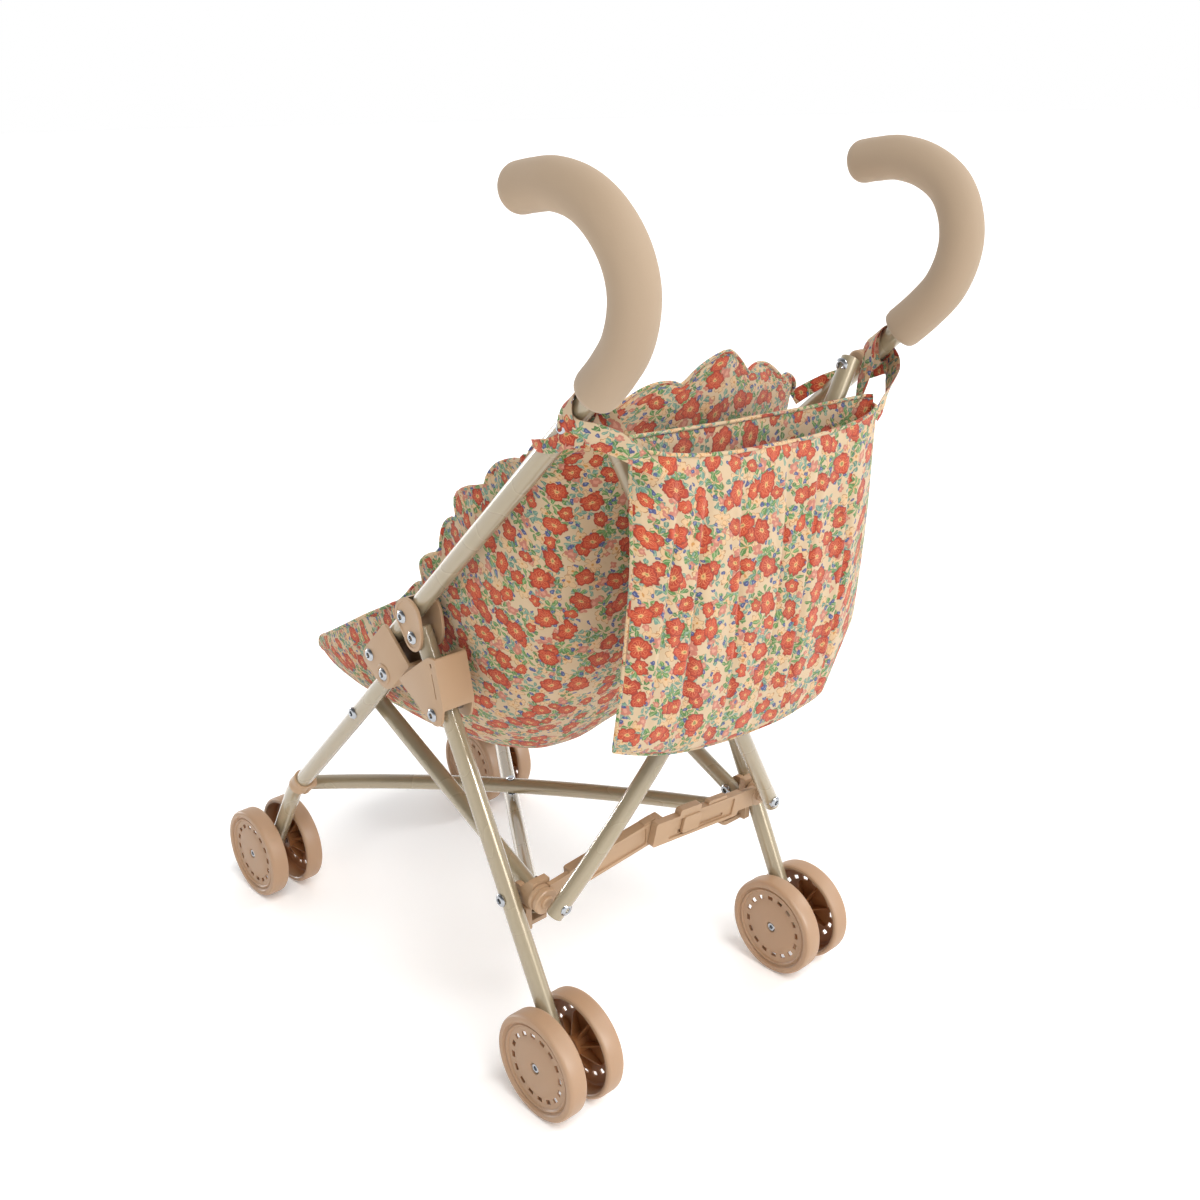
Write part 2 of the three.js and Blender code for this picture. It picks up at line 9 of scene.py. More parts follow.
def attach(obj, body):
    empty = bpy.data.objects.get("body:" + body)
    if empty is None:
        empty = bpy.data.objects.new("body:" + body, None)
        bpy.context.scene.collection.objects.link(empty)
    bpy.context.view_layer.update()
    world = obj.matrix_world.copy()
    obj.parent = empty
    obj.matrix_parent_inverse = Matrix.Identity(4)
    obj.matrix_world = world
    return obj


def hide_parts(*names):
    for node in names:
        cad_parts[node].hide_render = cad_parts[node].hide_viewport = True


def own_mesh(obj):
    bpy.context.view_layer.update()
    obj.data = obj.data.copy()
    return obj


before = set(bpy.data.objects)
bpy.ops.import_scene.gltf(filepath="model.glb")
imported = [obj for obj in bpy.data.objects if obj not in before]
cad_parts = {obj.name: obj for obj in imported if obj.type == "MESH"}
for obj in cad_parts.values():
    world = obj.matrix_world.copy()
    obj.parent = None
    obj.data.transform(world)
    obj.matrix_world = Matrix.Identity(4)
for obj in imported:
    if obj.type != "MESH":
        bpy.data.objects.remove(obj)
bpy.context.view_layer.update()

# Lengths below are millimetres from the rear axle, the middle plane and the floor.
SHIFT = 138.05
TUBE_R, TUBE_BORE = 6.0, 4.9
CROSS_R, CROSS_BORE = 5.5, 4.5
GRIP_R = 12.2
CLAMP_WALL = 1.8
EAR_R = 5.4
LUG_R = 6.4
SHELL_X, SHELL_IN = 8.8, 6.8
CATCH_HALF, CATCH_IN = 11.7, 10.1
HANDLE_END = (-163, 252.2)
LEG_TOP = (-149, 243)
REAR_TOP = (-112, 278.5)
PLATE_UP = (-121.6, 289.5)
CATCH_PIVOT = (-92.1, 235)
LINK_FRONT = (-196, 199.5)
LOW_PIVOT = (-42.8, 126)
CROSS_TOP = (38, 432)
CROSS_LOW = (-11.8, 125.5)
FLOOR_FRONT = (-304, 97)
FLOOR_REAR = (-46, 111)
CROSS_X = 96.5
FLOOR_X = 86.5
CLAMP_X = 108.4
PLATE_X = 110.0
CATCH_X = 109.4
LINK_X = 91.0
WHEEL_R = 34.5
WHEEL_IN = 7.9
REAR_TRACK = 107.0
FRONT_TRACK = 105.3
FRONT_AXLE_Y = -343.9

HANDLE_DIR = Vector((0.0355, 0.7421, 0.6694)).normalized()
SIDES = ((1, "left"), (-1, "right"))


def handle_at(s, t):
    d = HANDLE_DIR * t
    return Vector((s * (108 + d.x), HANDLE_END[0] + d.y, HANDLE_END[1] + d.z))


def front_at(s, t):
    return Vector((s * (CLAMP_X - 0.0115 * t), LEG_TOP[0] - 0.728 * t, LEG_TOP[1] - 0.6856 * t))


def rear_at(s, t):
    return Vector((s * (109.8 - 0.01043 * t), REAR_TOP[0] + 0.4171 * t, REAR_TOP[1] - 0.9088 * t))


# ---- camera, light, floor ----
CAMERA_TURNS = (138.08, 20.35, -1.19)
CAMERA_PLACE = (544.83, 532.08, 583.68)
WHITE = (1, 1, 1, 1)


def added(name, data):
    """A new object in the scene."""
    obj = bpy.data.objects.new(name, data)
    bpy.context.scene.collection.objects.link(obj)
    return obj


def make_camera():
    azimuth, elevation, roll = (radians(a) for a in CAMERA_TURNS)
    level = cos(elevation)
    back = Vector((sin(azimuth) * level, -cos(azimuth) * level, sin(elevation)))
    right = Vector((0, 0, 1)).cross(back).normalized()
    up = back.cross(right)
    turned_right = right * cos(roll) + up * sin(roll)
    turned_up = up * cos(roll) - right * sin(roll)
    data = bpy.data.cameras.new("camera")
    data.lens = 41.2
    data.sensor_width = 36
    camera = added("camera", data)
    place = Matrix((turned_right, turned_up, back)).transposed().to_4x4()
    place.translation = placed(CAMERA_PLACE)
    camera.matrix_world = place
    bpy.context.scene.camera = camera


def sun(name, toward, strength, spread, colour=(1, 1, 1), gloss_only=False):
    data = bpy.data.lights.new(name, "SUN")
    data.energy = strength
    data.angle = radians(spread)
    data.color = colour
    lamp = added(name, data)
    lamp.rotation_mode = "QUATERNION"
    lamp.rotation_quaternion = Vector(toward).to_track_quat("Z", "Y")
    lamp.visible_diffuse = not gloss_only


def make_stage():
    scene = bpy.context.scene
    scene.world = bpy.data.worlds.new("studio")
    m = Shader(scene.world, "Background")
    where = m.node("ShaderNodeTexCoord").outputs["Generated"]
    # light that grows to one side, and a white band over the horizon
    slope = m.fade(m.vector("DOT_PRODUCT", where, (-0.74, -0.62, 0.25), 1), -0.2, 0.75, 0.16, 1.0, SMOOTH)
    height = m.node("ShaderNodeSeparateXYZ", {}, i0=where).outputs[2]
    m.set(Color=WHITE, Strength=m.math("MAXIMUM", slope, m.fade(height, 0.17, 0.36, 1.0, 0.0)))
    sun("key", (0.1, 0.62, 0.78), 2.3, 34, (1, 0.985, 0.96))
    sun("edge", (-0.75, 0.35, 0.56), 0.7, 12)
    sun("leg_line", (-0.2, 0.9, 0.38), 2.6, 14, gloss_only=True)
    sun("handle_line", (0.1, -0.99, 0.06), 0.9, 9, gloss_only=True)
    bpy.ops.mesh.primitive_circle_add(vertices=96, radius=30, fill_type="NGON", location=(0, 0, -0.0004))
    floor = bpy.context.object
    floor.name = "floor"
    m = Shader(bpy.data.materials.new("floor"))
    m.set(Base_Color=WHITE, Roughness=0.9, Emission_Color=WHITE, Emission_Strength=0.16)
    floor.data.materials.append(m.owner)
    scene.view_settings.view_transform = "Standard"
    scene.view_settings.look = "None"


# ---- materials ----
def linear(code):
    parts = [int(code[i:i + 2], 16) / 255 for i in (0, 2, 4)]
    return tuple(c / 12.92 if c < 0.04045 else ((c + 0.055) / 1.055) ** 2.4 for c in parts) + (1,)


SMOOTH = {"interpolation_type": "SMOOTHSTEP"}


class Shader:
    """The node tree of a material or a world, with short names for the nodes that it uses."""

    def __init__(self, owner, shader="Principled BSDF"):
        owner.use_nodes = True
        self.owner = owner
        self.tree = owner.node_tree
        self.out = self.tree.nodes[shader]

    def feed(self, socket, value):
        if isinstance(value, bpy.types.NodeSocket):
            self.tree.links.new(value, socket)
        else:
            socket.default_value = value

    def node(self, kind, settings=(), **inputs):
        """A new node. Inputs are given by name, or by number as i0, i1 and so on."""
        made = self.tree.nodes.new(kind)
        for key, value in dict(settings).items():
            setattr(made, key, value)
        for key, value in inputs.items():
            self.feed(made.inputs[int(key[1:]) if key[1:].isdigit() else key], value)
        return made

    def math(self, operation, a, b=0.0, c=0.0):
        return self.node("ShaderNodeMath", {"operation": operation}, i0=a, i1=b, i2=c).outputs[0]

    def times(self, a, b):
        return self.math("MULTIPLY", a, b)

    def vector(self, operation, a, b=(0, 0, 0), output=0):
        return self.node("ShaderNodeVectorMath", {"operation": operation}, i0=a, i1=b).outputs[output]

    def mix(self, share, a, b):
        a, b = (linear(c) if isinstance(c, str) else c for c in (a, b))
        return self.node("ShaderNodeMix", {"data_type": "RGBA"}, i0=share, i6=a, i7=b).outputs[2]

    def fade(self, value, low, high, start, end, settings=()):
        made = self.node("ShaderNodeMapRange", settings, i0=value, i1=low, i2=high, i3=start, i4=end)
        return made.outputs[0]

    def step(self, value, edge, soft):
        """1 below the edge, 0 above it."""
        low, high = self.math("SUBTRACT", edge, soft), self.math("ADD", edge, soft)
        return self.fade(value, low, high, 1.0, 0.0, SMOOTH)

    def set(self, **inputs):
        for key, value in inputs.items():
            self.feed(self.out.inputs[key.replace("_", " ")], value)

    def noise(self, scale, detail=2.0, vector=None, output="Fac"):
        if vector is None:
            vector = self.node("ShaderNodeTexCoord").outputs["Object"]
        return self.node("ShaderNodeTexNoise", {}, Vector=vector, Scale=scale, Detail=detail).outputs[output]

    def bump(self, height, strength, distance):
        made = self.node("ShaderNodeBump", {}, Height=height, Strength=strength, Distance=distance)
        self.set(Normal=made.outputs[0])


def coated(name, light, dark, roughness, grain=None, inner=None, **fixed):
    """A surface of two close tones; grain is the scale and depth of its pores, inner the colour of a painted shade on
    the faces marked hollow.
    """
    m = Shader(bpy.data.materials.new(name))
    colour = m.mix(m.noise(9, 1), dark, light)
    if inner:
        # painted shade: faces marked hollow are mixed towards the darker inner colour
        hollow = m.node("ShaderNodeAttribute", {"attribute_name": "hollow"}).outputs["Fac"]
        colour = m.mix(hollow, colour, inner)
    m.set(Base_Color=colour)
    m.set(Roughness=m.fade(m.noise(25, 1), 0.3, 0.7, *roughness))
    if grain:
        m.bump(m.noise(grain[0], 1), 0.25, grain[1])
    m.set(**fixed)
    return m.owner


def flower_space(m, point, cell, seed, squash, scatter=0.8):
    """Polar coordinates round the nearest flower centre: its distance in mm, its angle, and three random numbers."""
    scaled = m.node("ShaderNodeVectorMath", {"operation": "SCALE"}, i0=point, i3=1 / cell).outputs[0]
    scaled = m.vector("ADD", scaled, (seed * 7.31, seed * 3.77, 0))
    kind = {"voronoi_dimensions": "2D", "feature": "F1"}
    cells = m.node("ShaderNodeTexVoronoi", kind, Vector=scaled, Scale=1.0, Randomness=scatter)
    local = m.vector("SUBTRACT", scaled, cells.outputs["Position"])
    parts = m.node("ShaderNodeSeparateColor", {}, i0=cells.outputs["Color"])
    turn = m.times(parts.outputs[0], 2 * pi)
    turned = m.node("ShaderNodeVectorRotate", {"rotation_type": "Z_AXIS"}, Vector=local, Angle=turn).outputs[0]
    shaped = m.vector("MULTIPLY", turned, (cell, cell * squash, 0))
    xyz = m.node("ShaderNodeSeparateXYZ", {}, i0=shaped)
    angle = m.math("ARCTAN2", xyz.outputs[1], xyz.outputs[0])
    distance = m.vector("LENGTH", shaped, output=1)
    return distance, angle, parts.outputs[1], parts.outputs[2]


def lobes(m, angle, count, power=1.0):
    wave = m.math("ABSOLUTE", m.math("COSINE", m.times(angle, count / 2)))
    return wave if power == 1.0 else m.math("POWER", wave, power)


def ring(m, value, at, width, soft, strength):
    """A line where the value passes a level."""
    away = m.math("ABSOLUTE", m.math("SUBTRACT", value, at))
    return m.times(m.step(away, width, soft), strength)


def printed_cloth():
    """Cream cotton printed all over with poppies, small leaves, berries and line flowers."""
    m = Shader(bpy.data.materials.new("printed_cotton"))
    uv = m.node("ShaderNodeUVMap", {"uv_map": "UVMap"}).outputs[0]
    flat = m.vector("MULTIPLY", uv, (1000, 1000, 0))
    shift = m.vector("SUBTRACT", m.noise(0.3, 1, flat, "Color"), (0.5, 0.5, 0.5))
    shift = m.vector("MULTIPLY", shift, (3.4, 3.4, 0))
    point = m.vector("ADD", flat, shift)
    colour = m.mix(m.noise(0.05, 2, flat), "CDB491", "DBC5A4")

    # tan line flowers
    for seed, cell, size in ((1.0, 15.0, 4.4), (1.5, 19.0, 5.6)):
        d, a, _, _ = flower_space(m, point, cell, seed, 1.2)
        edge = m.times(m.math("MULTIPLY_ADD", lobes(m, a, 5, 0.7), 0.62, 0.38), size)
        inside = m.step(d, edge, 0.2)
        colour = m.mix(m.times(inside, 0.45), colour, "E8BC86")
        colour = m.mix(ring(m, d, edge, 0.24, 0.14, 0.95), colour, "A8703E")
        colour = m.mix(m.step(d, 0.9, 0.2), colour, "C98F4C")

    # clusters of pointed leaves, teal and green
    leaves = ((4.0, 15.0, 4.4, 3, ("6A9A8C", "548579")), (2.0, 17.0, 5.4, 5, ("5D8F83", "74A091")),
              (4.5, 16.0, 4.4, 3, ("55884A", "43763C")), (3.0, 21.0, 6.4, 5, ("4B8242", "619550")))
    for seed, cell, size, count, shades in leaves:
        d, a, _, r2 = flower_space(m, point, cell, seed, 1.15)
        wave = lobes(m, a, count)
        share = m.math("DIVIDE", d, size)
        width = m.math("SINE", m.times(m.math("MINIMUM", share, 1.0), pi))
        width = m.times(width, 0.95)
        blade = m.math("SUBTRACT", 1.0, wave)
        inside = m.step(blade, m.times(width, 0.38), 0.04)
        inside = m.times(inside, m.step(share, 0.98, 0.03))
        leaf = m.mix(r2, shades[0], shades[1])
        leaf = m.mix(m.times(m.step(blade, 0.012, 0.01), 0.4), leaf, "D5D8AE")
        rim = m.times(m.step(m.times(width, 0.26), blade, 0.05), 0.5)
        colour = m.mix(inside, colour, m.mix(rim, leaf, "2F5A3E"))

    # pink buds and blossoms
    for seed, cell, size in ((5.0, 16.0, 2.5), (5.5, 24.0, 4.0)):
        d, a, _, _ = flower_space(m, point, cell, seed, 1.25)
        edge = m.times(m.math("MULTIPLY_ADD", lobes(m, a, 4, 0.7), 0.5, 0.5), size)
        bud = m.mix(m.step(d, size * 0.35, 0.3), "C27A68", "D89A84")
        colour = m.mix(m.step(d, edge, 0.2), colour, bud)

    # blue berries, two sizes
    for seed, cell, size in ((6.0, 11.0, 1.35), (7.0, 14.5, 1.65)):
        d, _, _, _ = flower_space(m, point, cell, seed, 1.4)
        berry = m.mix(m.step(d, 0.5, 0.2), "3F5187", "7F8CB0")
        colour = m.mix(m.step(d, size, 0.18), colour, berry)

    # poppies, large and small
    for seed, cell, low, high in ((8.0, 20.5, 4.0, 2.0), (9.0, 23.5, 6.2, 2.0)):
        d, a, r1, r2 = flower_space(m, point, cell, seed, 1.24, 0.6)
        size = m.math("MULTIPLY_ADD", r1, high, low)
        frill = m.times(m.math("SINE", m.times(a, 13)), 0.03)
        odd = m.math("ADD", m.times(a, 2), m.times(r2, 9))
        odd = m.times(m.math("SINE", odd), 0.07)
        petals = m.math("MULTIPLY_ADD", lobes(m, a, 5, 0.45), 0.26, 0.74)
        edge = m.times(size, m.math("ADD", m.math("ADD", petals, frill), odd))
        share = m.math("DIVIDE", d, edge)
        rays = m.math("SINE", m.times(a, 15))
        red = m.mix(r2, "C43E1F", "AE2F19")
        red = m.mix(ring(m, share, 0.7, 0.045, 0.03, 0.5), red, "E07A4E")
        rays = m.times(m.math("MAXIMUM", rays, 0.0), m.step(share, 0.55, 0.14))
        red = m.mix(m.times(rays, 0.7), red, "EE9C68")
        petal = m.step(m.math("ABSOLUTE", m.math("COSINE", m.times(a, 2.5))), 0.09, 0.05)
        petal = m.times(petal, m.step(0.3, share, 0.05))
        red = m.mix(m.times(petal, 0.8), red, "7E2016")
        red = m.mix(m.step(share, 0.24, 0.05), red, "E2AE72")
        red = m.mix(m.step(share, 0.11, 0.03), red, "8D8A4C")
        red = m.mix(ring(m, share, 0.96, 0.06, 0.04, 0.8), red, "7E2418")
        colour = m.mix(m.step(share, 1.0, 0.035), colour, red)

    # the weave, as crossing threads
    xyz = m.node("ShaderNodeSeparateXYZ", {}, i0=flat)
    warp, weft = (m.math("SINE", m.times(xyz.outputs[i], 8.0)) for i in (0, 1))
    weave = m.times(warp, weft)
    colour = m.mix(m.math("MULTIPLY_ADD", weave, 0.06, 0.06), colour, "A98058")
    colour = m.vector("MULTIPLY", colour, (0.95, 0.93, 0.91))
    m.set(Base_Color=colour, Roughness=0.9, Sheen_Weight=0.15, Sheen_Roughness=0.5)
    m.bump(m.math("MULTIPLY_ADD", weave, 0.08, m.noise(0.11, 3, flat)), 0.6, 0.0016)
    return m.owner


SKINS = {
    "paint": coated("beige_paint", "A3957A", "9D8F74", (0.24, 0.3), Metallic=0.2, Coat_Weight=1.0, Coat_Roughness=0.06),
    "plastic": coated("moulded_plastic", "B89878", "B19171", (0.4, 0.5)),
    "foam": coated("foam_rubber", "AE9880", "A79178", (0.8, 0.92), grain=(1100, 0.00012), Sheen_Weight=0.1),
    # the wheel's faces inside the rim, behind the slots and round the hub, take a darker painted shade
    "wheel": coated("wheel_plastic", "B08E70", "AA886A", (0.42, 0.52), inner="9A6233",
                    Subsurface_Weight=0.08, Subsurface_Radius=(0.006, 0.003, 0.0015)),
    "steel": coated("plated_steel", "B9BCC0", "A4A8AE", (0.14, 0.24), Metallic=1.0),
    "cloth": printed_cloth(),
}
MESH_ANGLE = 32
WHEEL_ANGLE = 28
FOAM_ANGLE = 60
MOULDED_ANGLE = 40
SOFT_ANGLE = 70


# ---- mesh building: each shape is a list of points and a list of faces ----
def placed(v):
    return Vector((v[0], v[1] + SHIFT, v[2])) / 1000


def weld(*shapes):
    points, faces = [], []
    for p, f in shapes:
        start = len(points)
        points += p
        faces += [[start + i for i in face] for face in f]
    return points, faces


def face_out(data):
    """Turns every face's normal outwards."""
    bm = bmesh.new()
    bm.from_mesh(data)
    bmesh.ops.recalc_face_normals(bm, faces=bm.faces)
    bm.to_mesh(data)
    bm.free()


def finish_piece(obj, slot, body, nodes=(), angle=MESH_ANGLE):
    """Gives a mesh its skin, its smooth shading and the body that it rides on."""
    data = obj.data
    face_out(data)
    data.materials.clear()
    data.materials.append(SKINS[slot])
    data.shade_smooth()
    data.set_sharp_from_angle(angle=radians(angle))
    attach(obj, body)
    if nodes:
        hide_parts(*nodes)
    return obj


def object_of(name, shape):
    points, faces = shape
    data = bpy.data.meshes.new(name)
    data.from_pydata([placed(p) for p in points], [], faces)
    data.update()
    return added(name, data)


def piece(name, shape, slot, body, nodes=(), angle=MESH_ANGLE):
    return finish_piece(object_of(name, shape), slot, body, nodes, angle)


def circle(centre, u, v, r, sides):
    return [centre + (u * cos(t) + v * sin(t)) * r for t in (2 * pi * k / sides for k in range(sides))]


def rings_of(path, radii, sides):
    """Circles along a path, turned with it so that they don't twist."""
    rings = []
    normal = None
    for i, p in enumerate(path):
        along = (path[min(i + 1, len(path) - 1)] - path[max(i - 1, 0)]).normalized()
        if normal is None:
            normal = along.orthogonal().normalized()
        normal = (normal - along * normal.dot(along)).normalized()
        rings.append(circle(p, normal, along.cross(normal), radii[i], sides))
    return rings


def skin_rings(rings, closed=True):
    sides = len(rings[0])
    points = [p for ring in rings for p in ring]
    faces = []
    last = len(rings) if closed else len(rings) - 1
    for i in range(last):
        j = (i + 1) % len(rings)
        for k in range(sides):
            n = (k + 1) % sides
            faces.append([i * sides + k, i * sides + n, j * sides + n, j * sides + k])
    return points, faces


def pipe(path, radius, bore, sides=28, lip=0.35):
    """A tube with rounded rims. Its wall is closed, outside and in."""
    a = (path[1] - path[0]).normalized()
    b = (path[-1] - path[-2]).normalized()
    line = [path[0] + a * 0.0001, path[0] + a * lip, *path[1:-1], path[-1] - b * lip, path[-1] - b * 0.0001]
    outer = rings_of(line, [radius - lip] + [radius] * (len(line) - 2) + [radius - lip], sides)
    inner = rings_of(line, [bore + lip * 0.5] + [bore] * (len(line) - 2) + [bore + lip * 0.5], sides)
    return skin_rings(outer + inner[::-1])


def bar(path, radii, sides=28):
    """A solid round bar along a path, closed at both ends."""
    points, faces = skin_rings(rings_of(path, radii, sides), closed=False)
    faces.append(list(range(sides))[::-1])
    faces.append(list(range(len(points) - sides, len(points))))
    return points, faces


def lathe(profile, origin, direction, sides=40):
    """A closed profile of radius and distance, turned round an axis."""
    direction = Vector(direction).normalized()
    side = direction.orthogonal().normalized()
    over = direction.cross(side)
    origin = Vector(origin)
    points, faces, rows = [], [], []
    for r, a in profile:
        if r < 1e-6:
            rows.append([len(points)] * sides)
            points.append(origin + direction * a)
        else:
            rows.append(list(range(len(points), len(points) + sides)))
            points += circle(origin + direction * a, side, over, r, sides)
    solid = profile[0][0] < 1e-6 and profile[-1][0] < 1e-6
    for i in range(len(rows) - 1 if solid else len(rows)):
        p, q = rows[i], rows[(i + 1) % len(rows)]
        for k in range(sides):
            n = (k + 1) % sides
            face = [p[k], p[n], q[n], q[k]]
            face = [v for j, v in enumerate(face) if v not in face[:j]]
            if len(face) > 2:
                faces.append(face)
    return points, faces


def curve(points, steps=8, loop=False):
    """A smooth line through the points."""
    points = [Vector(p) for p in points]
    out = []
    count = len(points)
    for i in range(count if loop else count - 1):
        p1, p2 = points[i], points[(i + 1) % count]
        p0 = points[(i - 1) % count] if loop or i else p1 * 2 - p2
        p3 = points[(i + 2) % count] if loop or i + 2 < count else p2 * 2 - p1
        reach = (p2 - p1).length
        m1 = (p2 - p0) * (reach / max((p2 - p0).length, 1e-6))
        m2 = (p3 - p1) * (reach / max((p3 - p1).length, 1e-6))
        for k in range(steps):
            t = k / steps
            out.append(p1 * (2 * t**3 - 3 * t**2 + 1) + m1 * (t**3 - 2 * t**2 + t)
                       + p2 * (3 * t**2 - 2 * t**3) + m2 * (t**3 - t**2))
    if not loop:
        out.append(points[-1])
    return out


def prism(outline, low, high, basis):
    """A flat outline, given thickness from low to high; basis turns (u, v, w) into a point."""
    points = [basis(u, v, low) for u, v in outline] + [basis(u, v, high) for u, v in outline]
    n = len(outline)
    faces = [list(range(n))[::-1], list(range(n, 2 * n))]
    faces += [[i, (i + 1) % n, n + (i + 1) % n, n + i] for i in range(n)]
    return points, faces


def turned(name, profile, origin, direction, slot, body, nodes=(), sides=28):
    piece(name, lathe(profile, origin, direction, sides), slot, body, nodes)


def tube(name, path, body, node, radius=CROSS_R, bore=CROSS_BORE):
    piece(name, pipe(path, radius, bore), "paint", body, [node])


def across(u, v, w):
    return Vector((w, u, v))


def plate(outline, s, low, high):
    return prism(outline, s * low, s * high, across)


def settle(obj):
    """Gives the object its mesh as its modifiers leave it."""
    data = bpy.data.meshes.new_from_object(obj.evaluated_get(bpy.context.evaluated_depsgraph_get()))
    obj.modifiers.clear()
    obj.data = data


def moulded(name, keep, body, nodes=(), cuts=(), adds=(), round_by=0.5):
    """A plastic piece, joined and cut from shapes, with its edges rounded."""
    obj = object_of(name, keep)
    helpers = []
    for kind, shapes in (("UNION", adds), ("DIFFERENCE", cuts)):
        for shape in shapes:
            other = object_of("helper", shape)
            for o in (obj, other):
                face_out(o.data)
            helpers.append(other)
            modifier = obj.modifiers.new("join", "BOOLEAN")
            modifier.operation = kind
            modifier.solver = "EXACT"
            modifier.object = other
            settle(obj)
    for other in helpers:
        bpy.data.objects.remove(other)
    modifier = obj.modifiers.new("round", "BEVEL")
    modifier.width = round_by / 1000
    modifier.segments = 3
    modifier.limit_method = "ANGLE"
    modifier.angle_limit = radians(38)
    modifier.use_clamp_overlap = True
    settle(obj)
    return finish_piece(obj, "plastic", body, nodes, MOULDED_ANGLE)


def rounded(outline, radius, steps=5):
    """A polygon with its corners rounded; a radius for each corner, or one for all."""
    n = len(outline)
    radii = radius if isinstance(radius, (list, tuple)) else [radius] * n
    out = []
    for i in range(n):
        p = Vector(outline[i]).to_2d()
        a = Vector(outline[i - 1]).to_2d() - p
        b = Vector(outline[(i + 1) % n]).to_2d() - p
        cut = min(radii[i] * 0.9, a.length * 0.48, b.length * 0.48)
        if cut < 0.05:
            out.append(tuple(p))
            continue
        start, end = p + a.normalized() * cut, p + b.normalized() * cut
        for k in range(steps + 1):
            t = k / steps
            q = start * (1 - t) ** 2 + p * 2 * t * (1 - t) + end * t * t
            out.append((q.x, q.y))
    return out


# ---- rivets ----
HEAD = [(4.1, 0.0), (4.2, 0.4), (3.9, 0.85), (3.3, 1.3), (2.7, 1.62), (2.1, 1.7), (1.75, 1.5), (1.55, 0.9),
        (1.45, -0.9), (0, -1.1)]
STUD = [(0, -2.5), (3.6, -2.5), (3.9, 0)] + HEAD
RIVET_R = 1.9


def rivet(name, s, point, x0, x1, node, body):
    up = [(r, x1 - x0 + a) for r, a in HEAD]
    down = [(r, -a) for r, a in HEAD[::-1]]
    profile = down + [(RIVET_R, 0.0), (RIVET_R, x1 - x0)] + up
    turned(name, profile, (s * x0, *point), (s, 0, 0), "steel", body, [node], 32)


# ---- wheels ----
OUTER_RINGS = [
    (34.5, 2.4), (34.5, 11.0), (34.2, 12.4), (33.4, 13.4), (32.2, 13.8), (31.0, 13.9), (30.1, 13.7), (29.6, 13.0),
    (29.3, 12.2), (28.7, 11.9), (28.1, 12.2), (27.7, 12.7), (27.1, 12.7), (26.7, 12.2), (26.3, 11.6), (23.2, 11.5),
    (20.4, 11.5), (19.2, 12.0), (16, 12.55), (12, 12.9), (9, 13.05), (5.2, 13.1), (3.9, 12.9), (3.5, 12.2),
    (3.4, 10.9), (2.6, 10.9),
]
INNER_RINGS = [
    (2.6, 1.2), (3.0, 0.95), (5.9, 0.95), (6.5, 1.5), (6.6, 9.6), (7.2, 10.3), (20.4, 10.3), (23.2, 10.3), (28.2, 10.3),
    (29.3, 9.6), (29.9, 8.2), (31.0, 1.0), (31.5, 0.4), (32.6, 0.2), (33.7, 0.7), (34.3, 1.5),
]
SLOTS = 16
WHEEL_SIDES = 128


def wheel(name, x, y, out, node):
    rows = OUTER_RINGS + INNER_RINGS
    sides = WHEEL_SIDES
    points, faces = [], []
    for r, a in rows:
        for k in range(sides):
            t = 2 * pi * k / sides
            points.append(Vector((x + out * (WHEEL_IN + a), y + r * cos(t), WHEEL_R + r * sin(t))))
    top_out, low_out = rows.index((23.2, 11.5)), rows.index((20.4, 11.5))
    low_in, top_in = rows.index((20.4, 10.3)), rows.index((23.2, 10.3))
    every = sides // SLOTS

    def is_open(k):
        return (k % sides) % every < 4

    def at(i, k):
        return (i % len(rows)) * sides + k % sides

    for i in range(len(rows)):
        for k in range(sides):
            if i in (top_out, low_in) and is_open(k):
                continue
            faces.append([at(i, k), at(i, k + 1), at(i + 1, k + 1), at(i + 1, k)])
    for k in range(sides):
        if is_open(k):
            faces.append([at(top_out, k), at(top_out, k + 1), at(top_in, k + 1), at(top_in, k)])
            faces.append([at(low_out, k + 1), at(low_out, k), at(low_in, k), at(low_in, k + 1)])
            if not is_open(k - 1):
                faces.append([at(top_out, k), at(top_in, k), at(low_in, k), at(low_out, k)])
            if not is_open(k + 1):
                faces.append([at(top_out, k + 1), at(low_out, k + 1), at(low_in, k + 1), at(top_in, k + 1)])
    ribs = []
    for n in range(8):
        t = 2 * pi * (n + 0.44) / 8
        u, v = cos(t), sin(t)

        def basis(p, q, w, u=u, v=v):
            return Vector((x + out * (WHEEL_IN + q), y + p * u - w * v, WHEEL_R + p * v + w * u))

        ribs.append(prism([(5.9, 2.6), (9, 3.6), (19.2, 8.4), (19.4, 10.6), (5.9, 10.6)], -0.5, 0.5, basis))
    made = object_of(name, weld((points, faces), *ribs))
    # points inside the wheel and on its ribs are marked hollow, so that they take the painted shade of its recesses
    hollow = made.data.attributes.new("hollow", "FLOAT", "POINT")
    first, last = len(OUTER_RINGS) * sides, (len(rows) - 5) * sides
    for i, value in enumerate(hollow.data):
        value.value = 0.9 if i >= first and (i < last or i >= len(points)) else 0.0
    finish_piece(made, "wheel", node + "_spin", [node], WHEEL_ANGLE)


def axle(name, x, y, node, body):
    half = WHEEL_IN + 11.4
    cap = [(3.1, 0), (3.15, 0.5), (2.7, 0.95), (2.0, 1.1), (1.5, 0.9), (1.3, -0.4), (0, -0.6)]
    profile = [(r, -half - a) for r, a in cap[::-1]] + [(2.2, -half), (2.2, half)] + [(r, half + a) for r, a in cap]
    turned(name, profile, (x, y, WHEEL_R), (1, 0, 0), "steel", body, [node], 32)


# ---- one side ----
HOOK = [(58.3, 451.8), (72, 464), (84, 478.5), (90.2, 498), (87.8, 515.5), (78.5, 530.5), (63, 540.6), (44, 544.9),
        (28, 543.8), (19.5, 542.5)]


def hook_points(s, count):
    return [Vector((s * (118.4 + min(i, 5) * 1.9), y, z)) for i, (y, z) in enumerate(HOOK[:count])]


